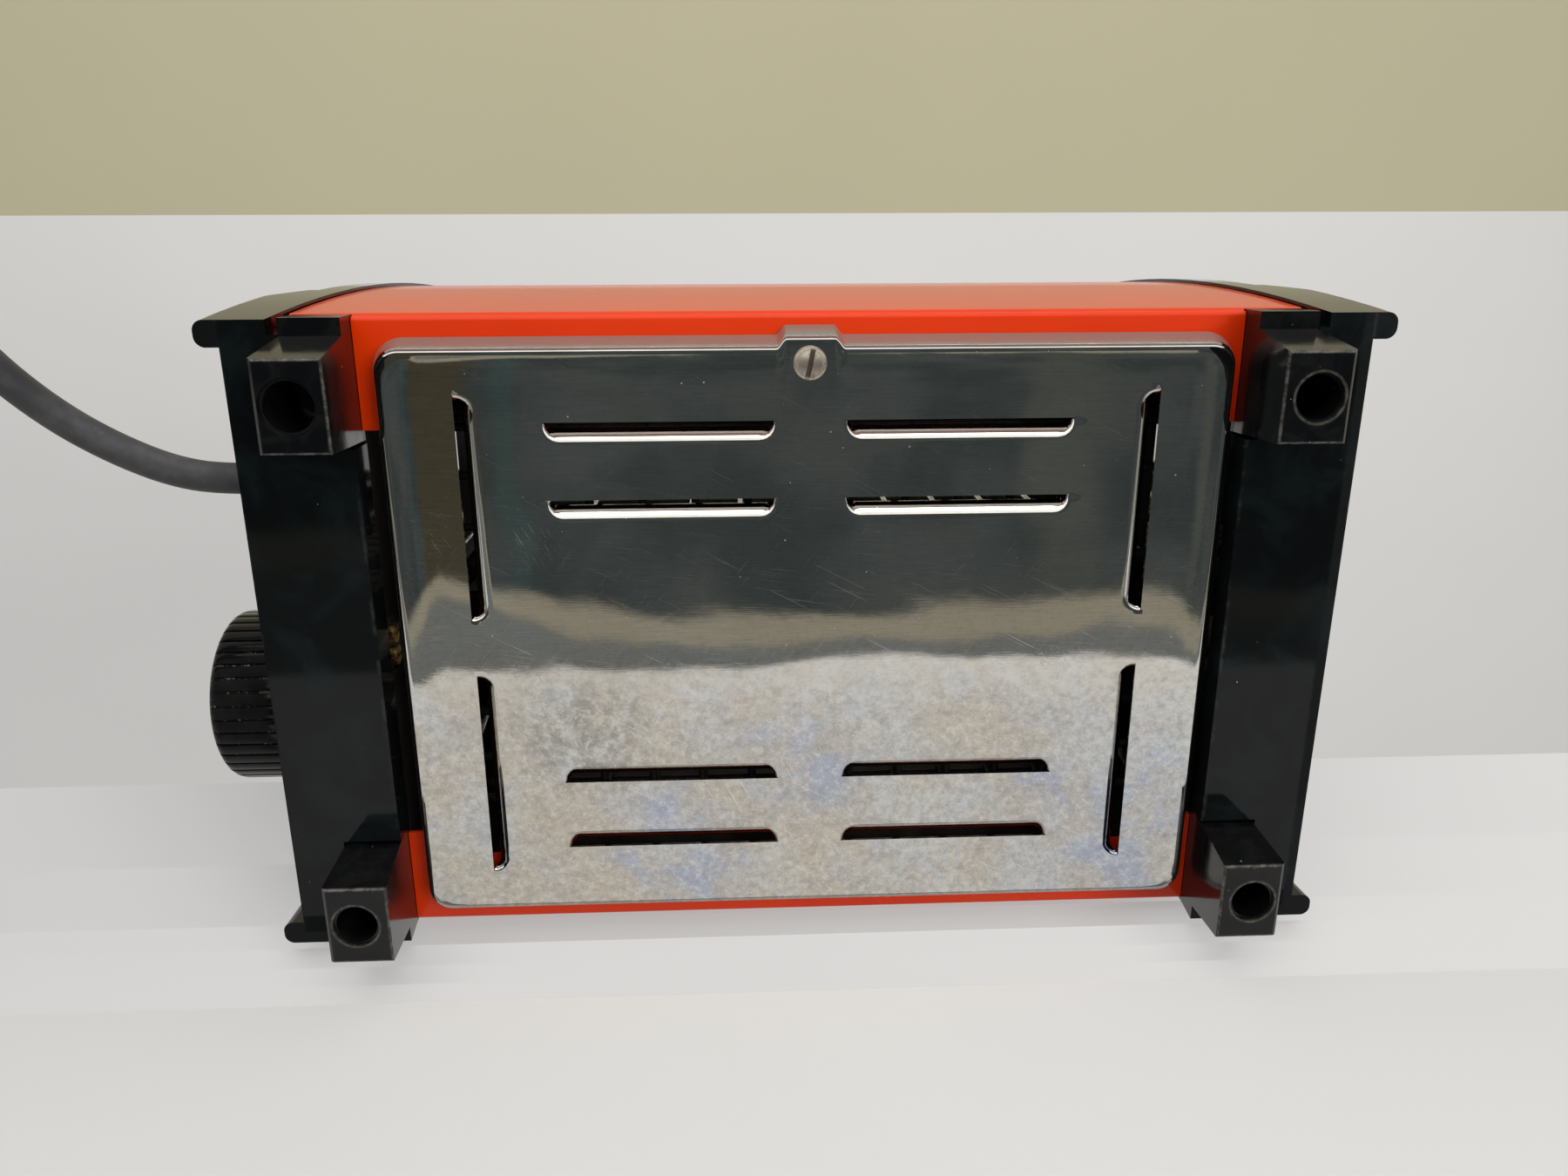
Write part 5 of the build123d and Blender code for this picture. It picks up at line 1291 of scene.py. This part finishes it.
# ---------------------------------------------------------------- stage
def one_sided(name, colour, facing=None, glow=0.0):
    """A plain surface that shows only its front, shaded as if it faced another way if that is given."""
    f = Finish(name)
    tint = f.coats(colour, (shaded(colour, 0.94, 0.94, 0.94), f.noise(180.0, 2.0, 0.5)))
    values = {"Base Color": tint, "Roughness": 0.9, "Specular IOR Level": 0.0}
    values.update({"Emission Color": tint, "Emission Strength": glow})
    if facing:
        values["Normal"] = f.add("ShaderNodeCombineXYZ", {}, dict(zip("XYZ", facing))).outputs[0]
    front = f.add("ShaderNodeBsdfPrincipled", {}, values)
    clear = f.add("ShaderNodeBsdfTransparent")
    back = f.add("ShaderNodeNewGeometry").outputs["Backfacing"]
    both = f.add("ShaderNodeMixShader", {}, {0: back, 1: front.outputs[0], 2: clear.outputs[0]})
    f.add("ShaderNodeOutputMaterial", {}, {"Surface": both.outputs[0]})
    return f.material


def glowing_wall():
    """The dim room that the polished plate looks into: dark above, beige lower down, with a few soft stripes."""
    f = Finish("room_wall")
    wave = f.noise(220.0, 2.0, 0.5) - 0.5
    left, right = f.x.most(0.0).least(450.0), f.x.least(0.0).most(-450.0)
    height = f.y + wave * 36.0 - left * left * 0.00054 - right * right * 0.0001
    slope = f.x - (f.y + 160.0) * 0.10 - wave * 70.0
    lower = 1 - height.ease(-377.0, -369.0)
    beige = (1 - lower) * (1 - height.ease(-338.0, -326.0))
    above = 1 - lower.most(beige)
    teal = (1 - abs(slope - 268.0).ease(4.0, 20.0)) * above
    brown = (1 - abs(slope - 345.0).ease(14.0, 52.0)) * above
    streak = (1 - abs(slope + 360.0).ease(20.0, 60.0)) * above
    tint = f.coats(
        (0.044, 0.054, 0.056),
        ((0.070, 0.079, 0.078), f.noise(150.0, 3.0, 0.5).ease(0.35, 0.65)),
        ((0.310, 0.288, 0.228), beige),
        ((0.176, 0.188, 0.186), lower),
        ((0.045, 0.105, 0.098), teal * 0.30),
        ((0.064, 0.053, 0.030), brown * 0.8),
        ((0.120, 0.122, 0.100), streak * 0.25),
        ((1.35, 1.32, 1.26), f.y.ease(290.0, 420.0)),
    )
    glow = f.add("ShaderNodeEmission", {}, {"Color": tint, "Strength": 1.0})
    f.add("ShaderNodeOutputMaterial", {}, {"Surface": glow.outputs[0]})
    return f.material


def stage_panel(name, corners, material, **seen):
    """A flat panel of the stage through its corners in metres; seen gives the kinds of ray that miss it."""
    mesh = bpy.data.meshes.new(name)
    mesh.from_pydata(corners, [], [tuple(range(len(corners)))])
    panel = bpy.data.objects.new(name, mesh)
    bpy.context.scene.collection.objects.link(panel)
    mesh.materials.append(material)
    for ray, value in seen.items():
        setattr(panel, f"visible_{ray}", value)


def level_corners(half_x, first_y, last_y, z):
    """Corners of a level panel. It faces up if last_y is the larger, and down if first_y is."""
    return [(-half_x, first_y, z), (half_x, first_y, z), (half_x, last_y, z), (-half_x, last_y, z)]


def add_camera(lens):
    """The camera below the toaster, looking up at its base."""
    camera = bpy.data.objects.new("camera", bpy.data.cameras.new("camera"))
    bpy.context.scene.collection.objects.link(camera)
    camera.data.lens = lens
    camera.data.sensor_width = FILM_WIDTH
    camera.data.clip_start = NEAREST
    turn = Matrix((CAMERA_RIGHT, CAMERA_UP, tuple(-c for c in CAMERA_AHEAD))).transposed().to_4x4()
    camera.matrix_world = Matrix.Translation(CAMERA_AT) @ turn
    bpy.context.scene.camera = camera


def add_ground(colour):
    """The floor that the toaster stands on, and the upright ground beside its front, which the plate mirrors."""
    pale = one_sided("pale_floor", colour)
    cloth = one_sided("pale_ground", colour)
    upright = one_sided("pale_ground_upright", colour, facing=(0.0, 0.95, -0.31), glow=0.48)
    rising = one_sided("pale_ground_rising", colour, facing=(0.0, 0.60, -0.80), glow=0.20)

    # The floor that the toaster stands on, seen from above only. Its middle isn't seen in reflections.
    far, near_x, near_y, level = 2.5, 0.125, 0.080, -0.0003
    inner = level_corners(near_x, -near_y, near_y, level)
    outer = level_corners(far, -far, far, level)
    stage_panel("floor_middle", inner, pale, shadow=False, glossy=False, diffuse=False)
    for k in range(4):
        after = (k + 1) % 4
        stage_panel(f"floor_{k}", [outer[k], outer[after], inner[after], inner[k]], pale, shadow=False, diffuse=False)

    # The ground below the floor's level: its lower edge waves, and shows in the polished plate
    ground_z, half, steps = -0.0006, 1.0, 120
    edge = []
    for k in range(steps + 1):
        x = half - 2 * half * k / steps
        wave = 0.004 * math.sin(x * 23.0) + 0.002 * math.sin(x * 61.0 + 1.0) + 0.006 * x
        edge.append((x, GROUND_Y, GROUND_EDGE + wave))
    stage_panel("ground_front", [(-half, GROUND_Y, ground_z), (half, GROUND_Y, ground_z)] + edge, cloth)

    # What is seen of the ground above the floor's level: level strips, shaded nearly as if they faced +Y as it does
    heights = [ground_z, 0.006, 0.013, 0.021, 0.031, 0.060, 0.110]
    for k, (before, height) in enumerate(zip(heights, heights[1:])):
        drop = 0.80 * (height - before) + 0.0005
        strip = level_corners(1.2, GROUND_Y, GROUND_Y - drop, height)
        stage_panel(f"ground_strip_{k}", strip, upright, shadow=False, diffuse=False, glossy=False)
    stage_panel("ground_back", level_corners(0.9, 0.103, -0.62, 0.60), rising, shadow=False, diffuse=False)


def build_stage(stage, colours):
    """Camera, pale surroundings and soft lights."""
    scene = bpy.context.scene
    scene.view_settings.view_transform = "Standard"
    add_camera(stage.lens)
    add_ground(tuple(colours.floor))
    warm = one_sided("warm_backdrop", (0.42, 0.395, 0.275), glow=0.25)
    stage_panel("backdrop", level_corners(1.6, 1.2, -0.62, 0.62), warm, shadow=False, diffuse=False)
    wall = level_corners(2.5, -1.6, 1.6, -1.0)
    stage_panel("room_wall", wall, glowing_wall(), camera=False, diffuse=False, shadow=False, transmission=False)

    add_light("key_light", (0.05, 0.90, -0.35), (0.0, 0.0, 0.0), (1.2, 0.8), stage.key_power, (1.0, 0.98, 0.96))
    add_light(
        "fill_light", (-0.55, 0.25, -0.80), (0.0, 0.0, 0.03), (0.5, 0.5), stage.fill_power, (1.0, 0.97, 0.93),
        mirrored=False,
    )
    add_light("top_light", (-0.40, -0.70, 1.25), (0.0, 0.0, 0.08), (0.9, 0.9), stage.top_power, (1.0, 0.99, 0.97))

    world = bpy.data.worlds.new("surroundings")
    world.use_nodes = True
    background = next(n for n in world.node_tree.nodes if n.type == "BACKGROUND")
    background.inputs["Color"].default_value = (1.0, 0.985, 0.96, 1.0)
    background.inputs["Strength"].default_value = stage.surroundings
    scene.world = world


def add_light(name, place, aim, size, power, colour, mirrored=True):
    """A soft rectangular light that looks at a point, and may be left out of reflections."""
    light = bpy.data.lights.new(name, "AREA")
    light.shape = "RECTANGLE"
    light.size, light.size_y = size
    light.energy = power
    light.color = colour
    lamp = bpy.data.objects.new(name, light)
    bpy.context.scene.collection.objects.link(lamp)
    towards = (Vector(aim) - Vector(place)).to_track_quat("-Z", "Y").to_matrix().to_4x4()
    lamp.matrix_world = Matrix.Translation(place) @ towards
    lamp.visible_glossy = mirrored


def finish_frame_nodes():
    """Gives every solid of the frame the finish of its slot."""
    for part in frame["record"]["subparts"]:
        node = frame["nodes"][part["node"]]
        slot = "tie" if part["node"] == "cord_ties" else part["material_slot"]
        if not node.material_slots:
            raise RuntimeError(f"{part['node']} has no material slot")
        for place in node.material_slots:
            place.link = "OBJECT"
            place.material = finish_for(slot)


# ---------------------------------------------------------------- operators and panel
class TOASTER_OT_stage(bpy.types.Operator):
    """Adds the camera, the pale surroundings and the lights"""

    bl_idname = "toaster.stage"
    bl_label = "Stage"

    def execute(self, context):
        build_stage(context.scene.toaster_stage, context.scene.toaster_colours)
        return {"FINISHED"}


class TOASTER_OT_cord(bpy.types.Operator):
    """Adds the mains cord along its route and coil"""

    bl_idname = "toaster.cord"
    bl_label = "Mains cord"

    def execute(self, context):
        build_cord(context.scene.toaster_sizes)
        return {"FINISHED"}


class TOASTER_OT_base_plate(bpy.types.Operator):
    """Adds the pressed base plate with its louvres"""

    bl_idname = "toaster.base_plate"
    bl_label = "Base plate"

    def execute(self, context):
        build_base_plate(context.scene.toaster_sizes)
        return {"FINISHED"}


class TOASTER_OT_plate_screw(bpy.types.Operator):
    """Adds the slotted screw of the base plate"""

    bl_idname = "toaster.plate_screw"
    bl_label = "Base plate screw"

    def execute(self, context):
        build_plate_screw()
        return {"FINISHED"}


class TOASTER_OT_knob(bpy.types.Operator):
    """Adds the ribbed timer knob and the marks behind it"""

    bl_idname = "toaster.knob"
    bl_label = "Timer knob"

    def execute(self, context):
        build_knob(context.scene.toaster_sizes)
        return {"FINISHED"}


class TOASTER_OT_plug(bpy.types.Operator):
    """Adds the moulded mains plug"""

    bl_idname = "toaster.plug"
    bl_label = "Mains plug"

    def execute(self, context):
        build_plug(context.scene.toaster_sizes)
        return {"FINISHED"}


class TOASTER_OT_finishes(bpy.types.Operator):
    """Gives every solid of the frame its finish"""

    bl_idname = "toaster.finishes"
    bl_label = "Finishes"

    def execute(self, context):
        finish_frame_nodes()
        return {"FINISHED"}


OPERATORS = (
    TOASTER_OT_stage,
    TOASTER_OT_plug,
    TOASTER_OT_cord,
    TOASTER_OT_base_plate,
    TOASTER_OT_plate_screw,
    TOASTER_OT_knob,
    TOASTER_OT_finishes,
)


class TOASTER_PT_panel(bpy.types.Panel):
    """Lists the pieces in the sidebar"""

    bl_idname = "TOASTER_PT_panel"
    bl_label = "Drop side toaster"
    bl_space_type = "VIEW_3D"
    bl_region_type = "UI"
    bl_category = "Toaster"

    def draw(self, context):
        for operator in OPERATORS:
            self.layout.operator(operator.bl_idname)
        for group in (context.scene.toaster_sizes, context.scene.toaster_colours, context.scene.toaster_stage):
            box = self.layout.box()
            for name in group.__annotations__:
                box.prop(group, name)


GROUPS = (ToasterSizes, ToasterColours, ToasterStage)


def register():
    """Registers the settings, the operators and the panel."""
    for kind in (*GROUPS, *OPERATORS, TOASTER_PT_panel):
        bpy.utils.register_class(kind)
    bpy.types.Scene.toaster_sizes = PointerProperty(type=ToasterSizes)
    bpy.types.Scene.toaster_colours = PointerProperty(type=ToasterColours)
    bpy.types.Scene.toaster_stage = PointerProperty(type=ToasterStage)


def unregister():
    """Takes them away again."""
    del bpy.types.Scene.toaster_stage
    del bpy.types.Scene.toaster_colours
    del bpy.types.Scene.toaster_sizes
    for kind in reversed((*GROUPS, *OPERATORS, TOASTER_PT_panel)):
        bpy.utils.unregister_class(kind)


def main():
    register()
    for operator in OPERATORS:
        group, name = operator.bl_idname.split(".")
        getattr(getattr(bpy.ops, group), name)()


if __name__ == "__main__":
    main()
